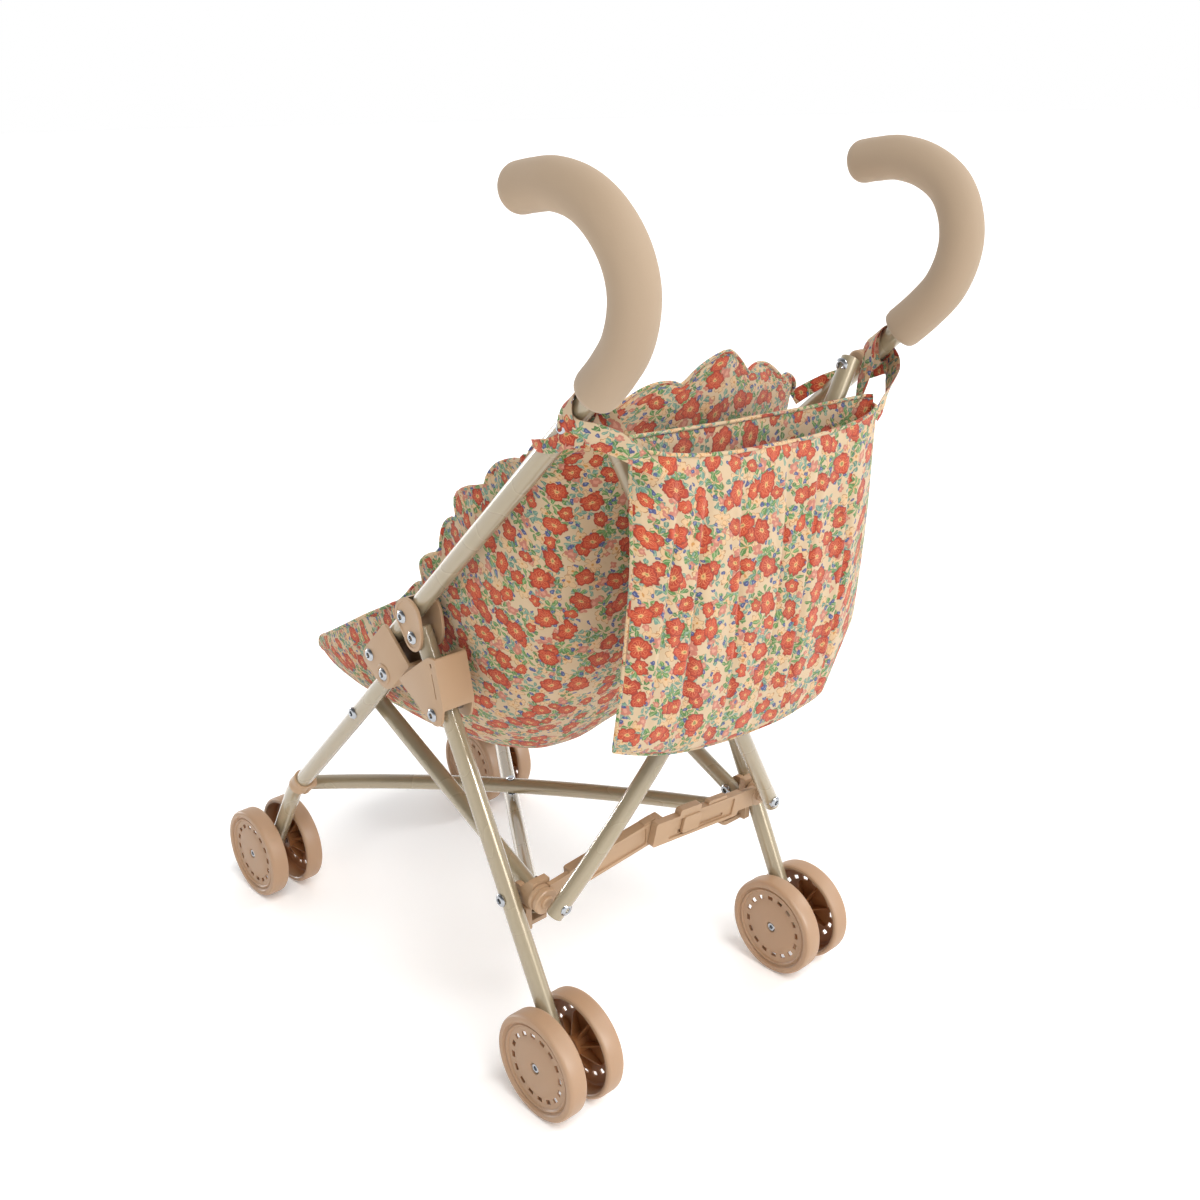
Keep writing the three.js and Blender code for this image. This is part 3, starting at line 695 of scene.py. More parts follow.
def handle(s, side):
    body = f"{side}_handle"
    line = curve([handle_at(s, t) for t in (270, 283, 294)] + hook_points(s, 9)[1:], 10)
    path = [handle_at(s, t) for t in (-5.5, 40, 120, 200, 255)] + line
    tube(f"{side}_handle_pipe", path, body, f"{side}_handle_tube", TUBE_R, TUBE_BORE)
    line = curve([handle_at(s, 286), handle_at(s, 293), *hook_points(s, 10)[1:]], 10)
    start = next(i for i, p in enumerate(line) if (p - handle_at(s, 286)).length > 11.5)
    line = line[start:]
    tip = (line[-1] - line[-2]).normalized()
    root = (line[0] - line[1]).normalized()
    shoulder = ((6.3, 0.9), (8.5, 1.1), (10.6, 0.9), (11.7, 0.3))
    cap = ((12.1, 1.2), (11.6, 3.0), (10.6, 4.6), (8.9, 5.8), (6.4, 6.5), (3.2, 6.8), (0.6, 6.85))
    path = [line[0] + root * a for r, a in shoulder] + line[1:] + [line[-1] + tip * a for r, a in cap]
    radii = [r for r, a in shoulder] + [GRIP_R] * (len(line) - 1) + [r for r, a in cap]
    grip = piece(f"{side}_foam_grip", bar(path, radii, 48), "foam", body, [f"{side}_grip"], FOAM_ANGLE)


def saddle(s, side):
    body = f"{side}_handle"
    outline = [(-128.4, 289.5), (-126.2, 296.8), (-119.5, 302.2), (-111.8, 302.6), (-105.2, 298.2), (-102.6, 290.5),
               (-102.2, 279.5), (-104.8, 273.2), (-110.2, 270), (-116.6, 271.6), (-121.6, 278.6)]
    outline = [(p.x, p.y) for p in curve([(y, z, 0) for y, z in outline], 5, loop=True)]
    middle = Vector((sum(y for y, z in outline), sum(z for y, z in outline))) / len(outline)
    inset = [tuple(middle + (Vector(p) - middle) * 0.86) for p in outline]
    along, above = Vector((HANDLE_DIR.y, HANDLE_DIR.z)), Vector((-HANDLE_DIR.z, HANDLE_DIR.y))
    gap = [tuple(Vector(PLATE_UP) + along * a + above * n) for a, n in ((-60, 6.2), (60, 6.2), (60, -80), (-60, -80))]
    block = plate(outline, s, PLATE_X - SHELL_X, PLATE_X + SHELL_X)
    cuts = [plate(gap, s, PLATE_X - SHELL_IN, PLATE_X + SHELL_IN)]
    for out in (1, -1):
        face = s * (PLATE_X + out * SHELL_X)
        cuts.append(prism(inset, face - s * out * 0.5, face + s * out * 2, across))
    moulded(f"{side}_saddle_shell", block, body, [f"{side}_hinge_saddle"], cuts=cuts, round_by=0.35)
    for end, at in (("upper", PLATE_UP), ("lower", REAR_TOP)):
        rivet(f"{side}_saddle_rivet_{end}", s, at, PLATE_X - 8.3, PLATE_X + 8.3, f"{side}_hinge_rivet_{end}", body)
    washer = [(2.2, 0), (5.6, 0), (6.6, 0.7), (6.6, 5.6), (5.8, 6.6), (2.2, 6.9)]
    end, out = (s * 104.2, *CROSS_TOP), (s, 0, 0)
    turned(f"{side}_spacer", washer, end, out, "plastic", body, [f"{side}_cross_washer"], 32)
    end = (s * 123.6, *CROSS_TOP)
    turned(f"{side}_cross_head", [(0, -7.5), (RIVET_R, -7.5)] + HEAD, end, out, "steel", body, (), 32)


def clamp(s, side):
    body = f"{side}_front_leg_assembly"
    outline = rounded([(-144.5, 278.4), (-170.6, 253.6), (-170.8, 245.6), (-158, 238), (-151.8, 234.0), (-146.2, 233.4),
                       (-141, 236), (-119.4, 257), (-140.2, 276.2)], [3, 4, 5, 6, 6, 6, 3, 2, 2.5], 5)
    along = Vector((0.7088, 0.7054))
    out = Vector((0.7054, -0.7088))
    foot = Vector((-141, 236)) - out * CLAMP_WALL
    inside = [tuple(foot + along * a + out * o) for a, o in ((-40, 0), (60, 0), (60, -80), (-40, -80))]
    shell = plate(outline, s, CLAMP_X - SHELL_X, CLAMP_X + SHELL_X)
    hollow = plate(inside, s, CLAMP_X - SHELL_IN, CLAMP_X + SHELL_IN)
    moulded(f"{side}_clamp_shell", shell, body, [f"{side}_fold_clamp"], [hollow], round_by=0.6)
    ring = [(4.3, 0), (6.9, 0), (6.9, 0.5), (6.3, 0.9), (4.9, 0.9), (4.3, 0.4)]
    turned(f"{side}_clamp_ring", ring, (s * (CLAMP_X + 8.7), *LEG_TOP), (s, 0, 0), "plastic", body, (), 36)
    for end, at in (("upper", HANDLE_END), ("lower", LEG_TOP)):
        node = f"{side}_clamp_rivet_{end}"
        rivet(f"{side}_clamp_head_{end}", s, at, CLAMP_X - SHELL_X, CLAMP_X + SHELL_X, node, body)


def front_leg(s, side):
    body = f"{side}_front_leg_assembly"
    bend = curve([front_at(s, 195), front_at(s, 204), front_at(s, 209.5), Vector((s * 105.8, -305.9, 93.8)),
                  Vector((s * 105.7, -309.2, 88.4)), Vector((s * 105.6, -313.2, 82.4))], 6)
    end = Vector((s * FRONT_TRACK, FRONT_AXLE_Y - 3, WHEEL_R - 4.7))
    path = [front_at(s, t) for t in (-9, 30, 90, 150)] + bend + [bend[-1].lerp(end, 0.5), end]
    tube(f"{side}_front_leg_pipe", path, body, f"{side}_front_leg", TUBE_R, TUBE_BORE)
    where = Vector((s * (CLAMP_X - 0.0115 * 66), *LINK_FRONT))
    turned(f"{side}_link_stud", STUD, where + Vector((s * 6.1, 0, 0)), (s, 0, 0), "steel", body)
    a, b = front_at(s, 186), front_at(s, 203)
    along = (b - a).normalized()
    sleeve = [(6.1, 1), (7.0, 1), (7.4, 1.6), (7.4, 5), (7.0, 6.0), (7.0, 10.2), (7.4, 11.2), (7.4, 14.4),
              (7.0, 15), (6.1, 15)]
    ring = lathe(sleeve, a, along, 36)
    mid = a.lerp(b, 0.6) + Vector((0, -1, -1.2))
    boss = lathe([(0, 0), (5.6, 0), (6.4, 0.8), (6.4, 9), (0, 9)], (s * 94.9, mid.y, mid.z), (s, 0, 0), 28)
    piece(f"{side}_leg_clip", weld(ring, boss), "plastic", body, [f"{side}_front_clip"])
    lean = atan2(FLOOR_FRONT[1] - mid.z, FLOOR_FRONT[0] - mid.y)
    ear = []
    for (y, z), turn in ((FLOOR_FRONT, -pi / 2), ((mid.y, mid.z), pi / 2)):
        angles = [lean + turn + pi * k / 8 for k in range(9)]
        ear += [(y + EAR_R * cos(a), z + EAR_R * sin(a)) for a in angles]
    moulded(f"{side}_clip_ear", plate(ear, s, 95.9, 98.7), body)
    pin = [(0, -1.4), (2.7, -1.2), (3.6, -0.4), (3.7, 0), (3.4, 2.8), (3.4, 6.2), (RIVET_R, 6.3),
           (RIVET_R, 17.6), (3.7, 17.6), (3.6, 18.2), (2.7, 18.9), (0, 19)]
    turned(f"{side}_clip_pin", pin, (s * 98.7, *FLOOR_FRONT), (-s, 0, 0), "steel", body)
    axle(f"{side}_front_shaft", s * FRONT_TRACK, FRONT_AXLE_Y, f"{side}_front_axle", body)


def rear_leg(s, side):
    body = f"{side}_rear_leg_assembly"
    path = [rear_at(s, t) for t in (-4.8, 60, 140, 220, 274)]
    tube(f"{side}_rear_leg_pipe", path, body, f"{side}_rear_leg", TUBE_R, TUBE_BORE)
    rivet(f"{side}_low_head", s, LOW_PIVOT, LINK_X - CROSS_R - 0.2, 114.2, f"{side}_low_rivet", body)
    wall = plate(rounded([(-50, 101), (-35, 101), (-35, 118.2), (-50, 118.2)], 2.5), s, 97, 101.35)
    shelf = rounded([(80.5, -52), (98, -52), (98, -39.5), (80.5, -39.5)], 3)
    shelf = prism(shelf, 101, 103.8, lambda u, v, w: Vector((s * u, v, w)))
    moulded(f"{side}_stop_lug", wall, body, [f"{side}_floor_lug"], adds=[shelf])
    rivet(f"{side}_catch_head", s, CATCH_PIVOT, CATCH_X - CATCH_HALF, CATCH_X + CATCH_HALF, f"{side}_catch_rivet", body)
    axle(f"{side}_rear_shaft", s * REAR_TRACK, 0, f"{side}_rear_axle", body)


def fold_catch(s, side):
    body = f"{side}_fold_catch_piece"
    outline = rounded([(-126.3, 248.1), (-96.5, 230.6), (-92.5, 228.6), (-87.0, 228.9), (-83.4, 231.6), (-80.6, 242.8),
                       (-86.6, 272.6), (-93.5, 271.9), (-101.6, 266.4)], [3, 8, 6, 6, 6, 3, 2.5, 2, 3], 5)
    inside = [(-130, 215), (-70, 215), (-70, 240.5), (-82.8, 240.5), (-88.8, 280), (-130, 280)]
    shell = plate(outline, s, CATCH_X - CATCH_HALF, CATCH_X + CATCH_HALF)
    cuts = [plate(inside, s, CATCH_X - CATCH_IN, CATCH_X + CATCH_IN)]
    slit = [(-90.6, 262.0), (-89.7, 262.2), (-86.6, 247.0), (-87.5, 246.8)]
    hole = rounded([(-91.8, 268.6), (-90.2, 269.0), (-89.6, 266.2), (-91.2, 265.8)], 0.8)
    for shape in (slit, hole):
        cuts.append(plate(shape, s, CATCH_X + 9, CATCH_X + 13))
    moulded(f"{side}_catch_shell", shell, body, [f"{side}_fold_catch"], cuts=cuts)


def side_link(s, side):
    front, rear = Vector((s * LINK_X, *LINK_FRONT)), Vector((s * LINK_X, *LOW_PIVOT))
    along = (rear - front).normalized()
    path = [front - along * 7, front.lerp(rear, 0.3), front.lerp(rear, 0.7), rear + along * 6]
    tube(f"{side}_link_pipe", path, f"{side}_side_link_piece", f"{side}_side_link")


UP = Vector((0, CROSS_TOP[0] - CROSS_LOW[0], CROSS_TOP[1] - CROSS_LOW[1])).normalized()
BACK = Vector((0, UP.z, -UP.y))


def cross_point(x, up, back):
    return Vector((x, *CROSS_LOW)) + UP * up + BACK * back


def bracket(s, side):
    body = f"{side}_rear_bracket_piece"
    angles = [radians(a) for a in range(60, 301, 20)]
    ear = [(LOW_PIVOT[0] + LUG_R * cos(a), LOW_PIVOT[1] + LUG_R * sin(a)) for a in angles]
    ear += [(-31, 118.6), (-28.2, 137), (-33.4, 137.4)]
    lug = plate(ear, s, 97.3, 101.1)
    block = rounded([(88, -8.5), (101.1, -8.5), (101.1, 10), (88, 10)], 1.5)
    block = prism(block, -22, -17.4, lambda u, v, w: cross_point(s * u, v, w))
    moulded(f"{side}_pivot_bracket", lug, body, [f"{side}_rear_bracket"], adds=[block])
    pin = [(0, 0), (2.4, 0), (2.4, 8.9), (4.4, 8.9), (4.4, 9.9), (3.6, 10.8), (0, 11)]
    turned(f"{side}_brace_pin", pin, cross_point(s * CROSS_X, 0, -18), BACK, "plastic", body)


def cross_tubes():
    up = hypot(CROSS_TOP[0] - CROSS_LOW[0], CROSS_TOP[1] - CROSS_LOW[1])

    def bowed(a, b, bow, normal):
        along = (b - a).normalized()
        a, b = a - along * 3.5, b + along * 3.5
        steps = 18
        return [a.lerp(b, i / steps) + normal * (bow * 4 * (i / steps) * (1 - i / steps)) for i in range(steps + 1)]

    for s, side, bow in ((1, "left", 0.0), (-1, "right", 14.4)):
        a, b = cross_point(s * CROSS_X, up, 0), cross_point(-s * CROSS_X, 0, 0)
        body = f"{side}_rear_cross_body"
        tube(f"{side}_rear_cross_pipe", bowed(a, b, bow, BACK), body, f"{side}_rear_cross")
        foot = cross_point(-s * (CROSS_X - 2.5), 3.2, CROSS_R + 0.1)
        turned(f"{side}_cross_foot_rivet", STUD, foot, BACK, "steel", body)
        top = (s * (CROSS_X - (CROSS_R + 0.2)), *CROSS_TOP)
        turned(f"{side}_cross_top_rivet", STUD, top, (-s, 0, 0), "steel", body)
    middle = cross_point(0, up / 2, 0)
    pin = [(0, -8.0), (2.4, -7.9), (4.0, -6.3), (4.1, -5.7), (RIVET_R, -5.7),
           (RIVET_R, 5.7), (5, 5.7), (5, 7.4), (0, 7.4)]
    turned("rear_cross_pin", pin, middle, BACK, "steel", "left_rear_cross_body", ["rear_cross_rivet"])

    # out of the plane of the floor crosses
    normal = Vector((0, FLOOR_REAR[1] - FLOOR_FRONT[1], FLOOR_FRONT[0] - FLOOR_REAR[0])).normalized() * -1
    for s, side, bow in ((1, "left", -7.0), (-1, "right", 7.0)):
        a, b = Vector((s * FLOOR_X, *FLOOR_REAR)), Vector((-s * FLOOR_X, *FLOOR_FRONT))
        body = f"{side}_floor_cross_body"
        tube(f"{side}_floor_cross_pipe", bowed(a, b, bow, normal), body, f"{side}_floor_cross")
    middle = Vector((0, (FLOOR_REAR[0] + FLOOR_FRONT[0]) / 2, (FLOOR_REAR[1] + FLOOR_FRONT[1]) / 2)) + normal * 7
    pin = [(0, -6.9), (2.6, -6.8), (3.0, -6.3), (3.0, -5.7), (RIVET_R, -5.7),
           (RIVET_R, 5.7), (3.0, 5.7), (3.0, 6.4), (0, 6.6)]
    turned("floor_cross_pin", pin, middle, -normal, "steel", "right_floor_cross_body", ["floor_cross_rivet"])


def brace(s, side, near, far):
    """One half of the folding brace: a flanged channel with a knuckle round the bracket's pin."""
    body = f"{side}_brace_piece"
    tilt = Matrix.Rotation(s * radians(6), 3, BACK)
    pivot = cross_point(s * CROSS_X, 0, -13)

    def basis(u, v, w):
        return pivot + tilt @ (cross_point(s * u, v, -w) - pivot)

    def slab(x0, x1, v0, v1, w0, w1, r=1.2):
        return prism(rounded([(x0, v0), (x1, v0), (x1, v1), (x0, v1)], r), w0, w1, basis)

    knuckle = [(2.75, 9), (8.0, 9), (8.6, 9.6), (8.6, 11.9), (7.4, 12.3),
               (7.4, 13.6), (8.6, 14.0), (8.6, 16.3), (8.0, 16.9), (2.75, 16.9)]
    root = slab(CROSS_X - 34, CROSS_X - 6, -7.2, 7.2, max(near, 9.4), min(far, 16.4))
    far_x = -4.0 if s > 0 else -9.0
    beam = rounded([(CROSS_X - 24, -8.8), (CROSS_X - 22, 8.8), (far_x, 8.8), (far_x, -8.8)], 2.0)
    cuts = [slab(far_x + 14, CROSS_X - 30, -6.6, 6.4, near - 1, near + 1.3, 1.0)]
    adds = [root]
    if s < 0:
        cuts.append(slab(14, 58, -5.4, -2.6, near - 1, near + 2.4, 0.6))
        adds.append(slab(12, 32, 6, 13, near, far, 2.5))
        adds.append(slab(40, 58, 7, 11.4, near + 0.6, far - 0.4, 2.0))
    else:
        adds.append(slab(2, 12, 7, 9.8, near + 0.6, far - 0.6, 1.2))
    moulded(f"{side}_brace_half", prism(beam, near, far, basis), body, [f"{side}_brace"], cuts, adds)
    turned(f"{side}_brace_knuckle", knuckle, cross_point(s * CROSS_X, 0, 0), -BACK, "plastic", body, (), 36)
    if s < 0:
        moulded("release_pad", slab(16, 32, -5.2, 7.2, near - 1.4, near + 1.2, 2.5), body)


# ---- cloth ----
SEAT_MIDDLE = [
    (31, 446, 0.8), (21, 410, 1.6), (10, 365, 2.5), (-4, 318, 2.7), (-20, 275, 2.7), (-42, 238, 2.7), (-74, 200, 2.4),
    (-112, 171, 1.9), (-155, 156, 1.6), (-200, 152, 1.5), (-244, 160, 1.6), (-278, 176, 1.8), (-300, 198, 2),
]
SEAT_EDGE = [
    (92, -3, 413), (99, -17, 405), (101, -38, 394), (101, -68, 374), (100, -96, 346), (96, -122, 315), (94.5, -146, 292),
    (94, -172, 277), (93.5, -200, 263), (93, -228, 248), (91, -255, 234), (84, -280, 222), (74, -300, 208),
]
SEAT_ROWS = 96
SEAT_COLUMNS = 80
CORD_SIDES = 10


def runs(line):
    """The distance along a line to each of its points."""
    out = [0.0]
    for a, b in zip(line, line[1:]):
        out.append(out[-1] + (b - a).length)
    return out


def lay_flat(obj, places, body):
    """Gives the cloth its flat map, from a place for each point."""
    layer_map = obj.data.uv_layers.new(name="UVMap")
    for loop in obj.data.loops:
        layer_map.data[loop.index].uv = places[loop.vertex_index]
    return finish_piece(obj, "cloth", body, (), SOFT_ANGLE)


def spline(values, t):
    """A smooth value between the rows of a table."""
    n = len(values) - 1
    i = min(int(t * n), n - 1)
    f = t * n - i
    p = [Vector(values[min(max(i + k, 0), n)]) for k in (-1, 0, 1, 2)]
    return 0.5 * ((2 * p[1]) + (p[2] - p[0]) * f + (2 * p[0] - 5 * p[1] + 4 * p[2] - p[3]) * f * f
                  + (3 * p[1] - 3 * p[2] + p[3] - p[0]) * f**3)


def seat_point(t, u):
    cy, cz, flatness = spline(SEAT_MIDDLE, t)
    ex, ey, ez = spline(SEAT_EDGE, t)
    side = abs(u)
    blend = side**max(flatness, 0.6)
    x = copysign(ex * sin(min(side, 1.0) * pi / 2) ** 0.92, u)
    return Vector((x, cy + (ey - cy) * blend, cz + (ez - cz) * blend))


def sheet_piece(name, grid, thick, body, seed=0.0, wrinkle=0.0, flip=1):
    """A double layer of cloth over a grid of points, with rounded edges and a flat map in metres."""
    rows, columns = len(grid), len(grid[0])
    normals = [[None] * columns for _ in range(rows)]
    for i in range(rows):
        for j in range(columns):
            down = grid[min(i + 1, rows - 1)][j] - grid[max(i - 1, 0)][j]
            over = grid[i][min(j + 1, columns - 1)] - grid[i][max(j - 1, 0)]
            normals[i][j] = over.cross(down).normalized() * flip
    points, faces, flat_at = [], [], []
    lengths = runs([row[columns // 2] for row in grid])
    spans = [[r - run[-1] / 2 for r in run] for run in map(runs, grid)]
    for layer in (1, -1):
        for i in range(rows):
            for j in range(columns):
                edge = min(i, rows - 1 - i, j, columns - 1 - j)
                share = (0.25, 0.75, 0.95)[edge] if edge < 3 else 1.0
                p = grid[i][j]
                lift = 0.0
                if wrinkle:
                    lift = wrinkle * noise.noise(Vector((p.x / 26 + seed, p.y / 38, p.z / 38)))
                    lift += wrinkle * 0.4 * noise.noise(Vector((p.x / 9 + seed, p.y / 22, p.z / 22)))
                points.append(p + normals[i][j] * (layer * thick / 2 * share + lift * (1 if edge > 1 else 0.5)))
                flat_at.append((spans[i][j] / 1000 + seed, -lengths[i] / 1000 + seed + layer * 0.5))
    size = rows * columns

    def at(layer, i, j):
        return layer * size + i * columns + j

    for i in range(rows - 1):
        for j in range(columns - 1):
            faces.append([at(0, i, j), at(0, i, j + 1), at(0, i + 1, j + 1), at(0, i + 1, j)])
            faces.append([at(1, i, j), at(1, i + 1, j), at(1, i + 1, j + 1), at(1, i, j + 1)])
    for i in range(rows - 1):
        faces.append([at(0, i, 0), at(0, i + 1, 0), at(1, i + 1, 0), at(1, i, 0)])
        j = columns - 1
        faces.append([at(0, i, j), at(1, i, j), at(1, i + 1, j), at(0, i + 1, j)])
    for j in range(columns - 1):
        faces.append([at(0, 0, j), at(1, 0, j), at(1, 0, j + 1), at(0, 0, j + 1)])
        i = rows - 1
        faces.append([at(0, i, j), at(0, i, j + 1), at(1, i, j + 1), at(1, i, j)])
    return lay_flat(object_of(name, (points, faces)), flat_at, body)


def cloth_size(grid):
    """The flat width, length and area of a grid of points, in metres."""
    columns, rows = len(grid[0]), len(grid)
    width = max(runs(row)[-1] for row in grid)
    length = max(runs([row[j] for row in grid])[-1] for j in range(0, columns, 3))
    area = 0.0
    for i in range(rows - 1):
        for j in range(columns - 1):
            a, b, c, d = grid[i][j], grid[i][j + 1], grid[i + 1][j + 1], grid[i + 1][j]
            area += ((b - a).cross(c - a).length + (c - a).cross(d - a).length) / 2
    return width / 1000, length / 1000, area / 1e6


def declare(grid):
    width, length, area = cloth_size(grid)
    area = min(area, width * length)


def cord_trim(name, line, radius):
    """A thin rolled edge of the same cloth."""
    ring = [k * radius * 0.6 / 1000 + 0.77 for k in range(CORD_SIDES)]
    places = [(run / 1000 + 0.31, turn) for run in runs(line) for turn in ring]
    return lay_flat(object_of(name, bar(line, [radius] * len(line), CORD_SIDES)), places, "seat_and_bag")


def scallop(run, pitch):
    """0 in the notch between two scallops and 1 at the top of one."""
    return abs(sin(pi * run / pitch)) ** 0.6


def make_seat():
    grid = []
    for i in range(SEAT_ROWS):
        t = i / (SEAT_ROWS - 1)
        grid.append([seat_point(t, -1 + 2 * j / (SEAT_COLUMNS - 1)) for j in range(SEAT_COLUMNS)])
    # the side edges: scallops down to the lap, then a plain hem
    for j, step in ((0, 1), (SEAT_COLUMNS - 1, -1)):
        run = 0.0
        for i in range(SEAT_ROWS):
            if i:
                run += (grid[i][j] - grid[i - 1][j]).length
            fade = min(max((250 - run) / 60, 0.0), 1.0)
            rise = (-5.5 + 10.5 * scallop(run - 74, 42)) * fade
            ruffle = 3.2 * sin(pi * (run - 74) / 42) * fade
            out = (grid[i][j] - grid[i][j + 2 * step]).normalized()
            over = out.cross(grid[min(i + 1, SEAT_ROWS - 1)][j] - grid[max(i - 1, 0)][j]).normalized()
            moves = [(out * rise + over * ruffle) * (1 - k / 12) ** 2 for k in range(12)]
            for k, move in enumerate(moves):
                grid[i][j + k * step] = grid[i][j + k * step] + move
    # the top edge: one wide scallop in the middle, two on each side
    run = runs(grid[0])
    half = run[-1] / 2
    for j in range(SEAT_COLUMNS):
        away = abs(run[j] - half)
        if away < 27:
            bump = 1.25 * cos(pi * away / 54) ** 0.6
        else:
            bump = scallop(away - 27, 47)
        rise = -5.0 + 9.0 * bump
        out = (grid[0][j] - grid[3][j]).normalized()
        for k in range(9):
            grid[k][j] = grid[k][j] + out * (rise * (1 - k / 9) ** 2)
    seat = sheet_piece("seat_sling", grid, 2.0, "seat_and_bag", 0.13, 1.6)
    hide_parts("seat_middle", "left_seat_wing", "right_seat_wing")
    edge = [row[0] for row in grid[:0:-1]] + grid[0] + [row[-1] for row in grid[1:]]
    trim = cord_trim("seat_piping", edge, 1.25)
    front = cord_trim("seat_front_piping", grid[-1], 1.25)
    # the second line of the hem, along the front and up both sides of the lap
    lap = SEAT_ROWS * 5 // 8
    line = [row[4] for row in grid[lap:-3]] + grid[-4][5:-5] + [row[-5] for row in grid[-4:lap - 1:-1]]
    hem = cord_trim("seat_hem_fold", line, 1.35)
    declare(grid)
    for obj in (seat, trim, front, hem):
        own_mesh(obj)


def make_bag():
    """The pouch behind the seat: a front and a rear panel that meet at the sides and hang in gathers."""
    columns, rows = 110, 60
    pleats = (-66, -38, -9, 21, 50, 74)

    def panel_point(face, u, t):
        # u runs from -1 to 1 across and t from 0 at the mouth to 1 at the foot
        half = 94.5 - 2.0 * sin(pi * min(t * 1.1, 1))
        corner = max(-u - 0.72, 0) / 0.28
        x = u * (half - 9 * corner * max(t - 0.86, 0) / 0.14) - (1 - u) / 2 * (5 + 6 * t)
        if face > 0:
            z_top = 419 - 8.5 * (1 - abs(u) ** 3) - 4.5 * (1 - u)
        else:
            z_top = 424 - 3.0 * (1 - abs(u) ** 3) - 4.5 * (1 - u)
        z_low = 248.5 - 17.5 * (1 - abs(u) ** 2.4) - 7 * (1 - u) * (1 - corner) + 9 * corner
        z = z_top + (z_low - z_top) * t
        lean = -26 * t**2.1
        fill = 12.0 * (1 - abs(u) ** 4) ** 0.5 * (sin(pi * min(0.5 + t * 0.5, 1.0)) ** 0.35 if t < 1 else 0)
        y = 55 + lean * 0.62 + face * fill * (1.0 if face > 0 else 0.75)
        if face > 0:
            for x0 in pleats:
                d = (x - x0 - 4 * sin(t * 2.6 + x0)) / 2.2
                y -= 2.6 * exp(-d * d) * min(1, t * 3 + 0.15) * (1 - t**6)
                y += 1.3 * exp(-((d - 2.4) ** 2)) * min(1, t * 3 + 0.15) * (1 - t**6)
            y += 0.9 * sin(x * 0.17 + 1.3) * sin(t * pi) ** 0.5
        y += 1.1 * noise.noise(Vector((x / 30, z / 42, face * 3.0)))
        return Vector((x, y, z))

    objects = []
    for face, name in ((1, "bag_rear_panel"), (-1, "bag_front_panel")):
        across_at = [-1 + 2 * j / (columns - 1) for j in range(columns)]
        grid = [[panel_point(face, u, i / (rows - 1)) for u in across_at] for i in range(rows)]
        obj = sheet_piece(name, grid, 1.3, "seat_and_bag", 0.57 + 0.21 * face, 0.0, flip=face)
        objects.append((obj, grid))
    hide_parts("bag")
    rear, front = objects[0][1], objects[1][1]
    trims = []
    for name, line in (("bag_rear_hem", rear[0]), ("bag_front_hem", front[0]),
                       ("bag_left_seam", [row[-1] for row in rear]), ("bag_right_seam", [row[0] for row in rear]),
                       ("bag_foot_seam", rear[-1])):
        trims.append(cord_trim(name, line, 1.15))
    pieces = ([trims[0], trims[2], trims[3], trims[4]], [trims[1]])
    for (obj, grid), trim in zip(objects, pieces):
        declare(grid)
    for obj in [o for o, g in objects] + trims:
        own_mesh(obj)


def ribbon(name, line, sides, widths, body, seed):
    """A flat band along a line; sides gives the direction of its width at each point."""
    grid = []
    for i, (p, w, width) in enumerate(zip(line, sides, widths)):
        ahead = line[min(i + 1, len(line) - 1)] - line[max(i - 1, 0)]
        w = (w - ahead * (w.dot(ahead) / ahead.dot(ahead))).normalized()
        grid.append([p + w * (width * (k / 6 - 0.5)) for k in range(7)])
    obj = sheet_piece(name, grid, 1.2, body, seed)
    declare(grid)


def strap(name, points, sides, widths, body, seed):
    line = curve(points, 8)
    ways = curve([Vector(w) * 10 for w in sides], 8)
    wide = [p.x for p in curve([(w, 0, 0) for w in widths], 8)]
    ribbon(name, line, ways, wide, body, seed)


# points of the left rear strap, and of the right one, mirrored
REAR_STRAPS = {
    1: [(125.2, 42, 438), (124, 47, 433.5), (118, 54, 430), (109, 60, 425), (98, 66, 416), (84, 69, 406)],
    -1: [(125.2, 43, 437), (122.5, 50, 431), (117, 55, 424.5), (109.5, 58, 417), (103, 58.5, 409), (98, 58, 402)],
}
# points of the front strap, each with its share of the right bag corner's drop
FRONT_STRAP = [(107, 46, 444, 0.2), (101, 47.5, 434, 0.6), (95, 48.5, 424, 1.0), (91, 49, 416, 1.0)]
CORNER_DROP = {1: 0.0, -1: 9.0}
SEAT_STRAP = [(119.5, 49.5, 428), (124, 43, 427), (124.6, 31, 422), (123.4, 18, 419.5), (118, 10, 417.5),
              (108, 3, 412), (99, -5, 405)]


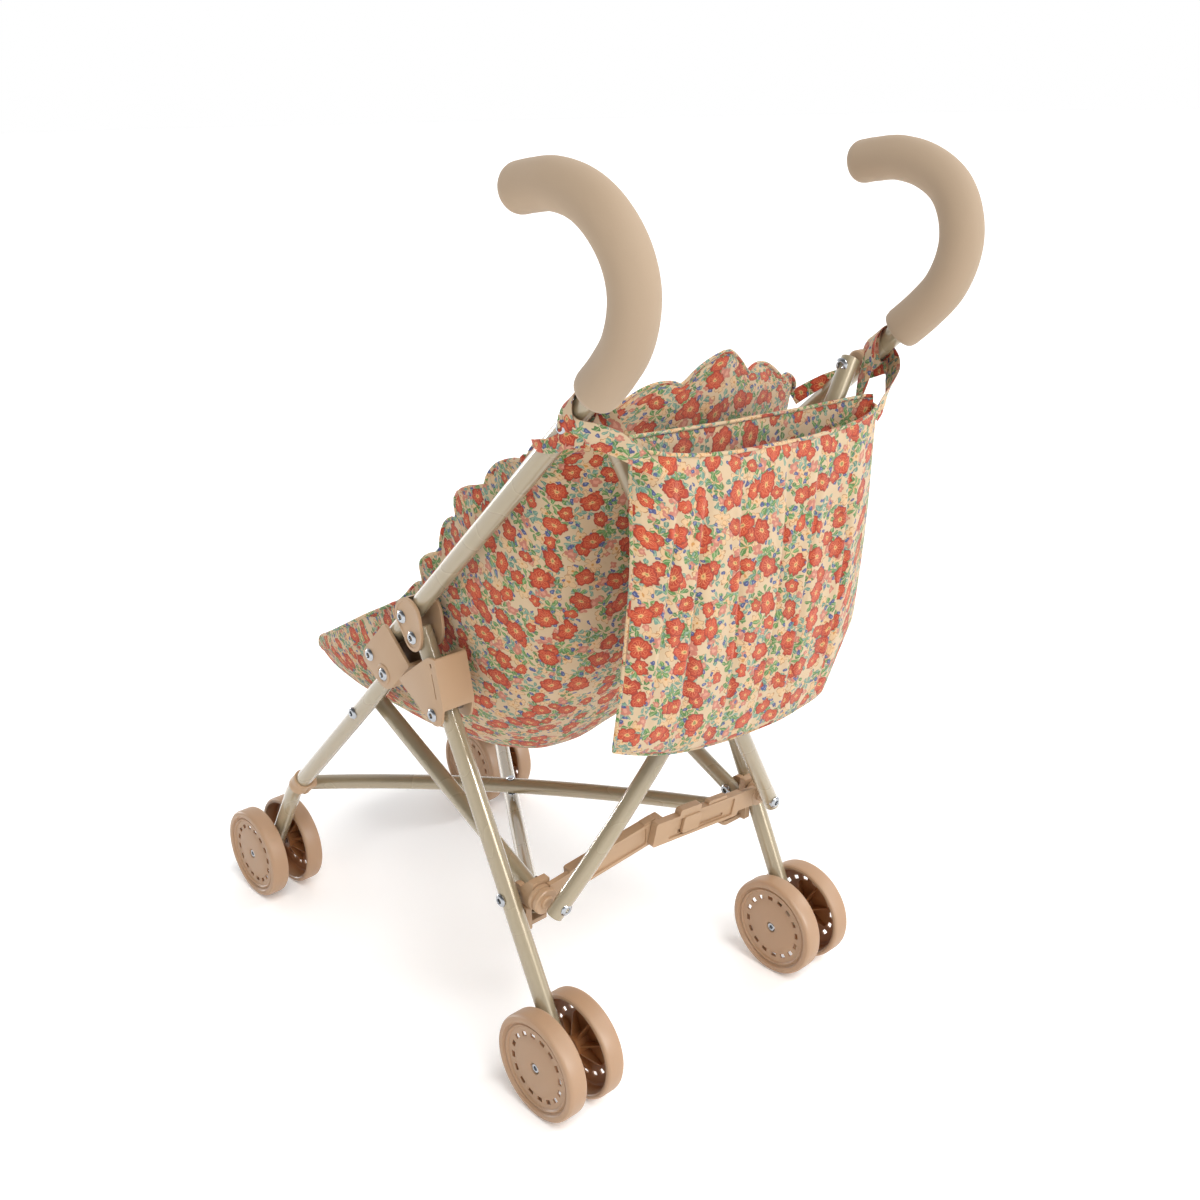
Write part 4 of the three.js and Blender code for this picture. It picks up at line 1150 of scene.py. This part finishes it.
def make_straps():
    """Three straps from each handle to the bag and the seat, and the loop round the tube that holds them."""
    for s, side in SIDES:
        body = f"{side}_handle"
        along = Vector((s * HANDLE_DIR.x, HANDLE_DIR.y, HANDLE_DIR.z))
        a = Vector((s, 0, 0)) - along * along.dot(Vector((s, 0, 0)))
        a.normalize()
        b = along.cross(a).normalized()
        if b.z < 0:
            b = -b
        ring = []
        for k in range(37):
            t = 2 * pi * k / 36
            ring.append(handle_at(s, 278) + (a * cos(t) + b * sin(t)) * 7.2 + along * (8 * sin(t)))
        ribbon(f"{side}_strap_loop", ring, [along] * 37, [11] * 37, body, 0.23 + 0.1 * s)
        rear = [(s * x, y, z) for x, y, z in REAR_STRAPS[s]]
        ways = [along, along, along + Vector((0, 0, 0.3)), (0.3 * s, 0.2, 1), (0.3 * s, 0.1, 1), (0.3 * s, 0, 1)]
        strap(f"{side}_strap_rear", rear, ways, [11, 12, 15, 14, 9, 5], body, 0.4 + 0.07 * s)
        front = [(s * x, y, z - CORNER_DROP[s] * share) for x, y, z, share in FRONT_STRAP]
        front.insert(0, handle_at(s, 284) + b * 7.4 - a * 2.0)
        ways = [along, along + Vector((0, 0, 0.4)), (0.2 * s, 0.5, 0.9), (0.3 * s, 0.2, 1), (0.3 * s, 0, 1)]
        strap(f"{side}_strap_front", front, ways, [12, 12, 11, 9, 7], body, 0.61 + 0.07 * s)
        seat = [(s * x, y, z) for x, y, z in SEAT_STRAP]
        ways = [(0, 0, 1), (0, -0.1, 1), (0, -0.3, 1), (0.1 * s, -0.3, 1), (0.4 * s, -0.2, 0.9), (0.5 * s, 0, 0.8),
                (0.5 * s, 0, 1)]
        strap(f"{side}_strap_seat", seat, ways, [10.2, 9, 8, 6.5, 6.5, 8, 9], body, 0.83 + 0.07 * s)


make_camera()
make_stage()
for s, side in SIDES:
    for make in (handle, saddle, clamp, front_leg, rear_leg, fold_catch, side_link, bracket):
        make(s, side)
    for end, x, y in (("front", FRONT_TRACK, FRONT_AXLE_Y), ("rear", REAR_TRACK, 0)):
        for place, out in (("outer", s), ("inner", -s)):
            wheel(f"{side}_{end}_tyre_{place}", s * x, y, out, f"{side}_{end}_wheel_{place}")
cross_tubes()
brace(1, "left", 13.1, 19.6)
brace(-1, "right", 7.6, 12.7)
make_seat()
make_bag()
make_straps()
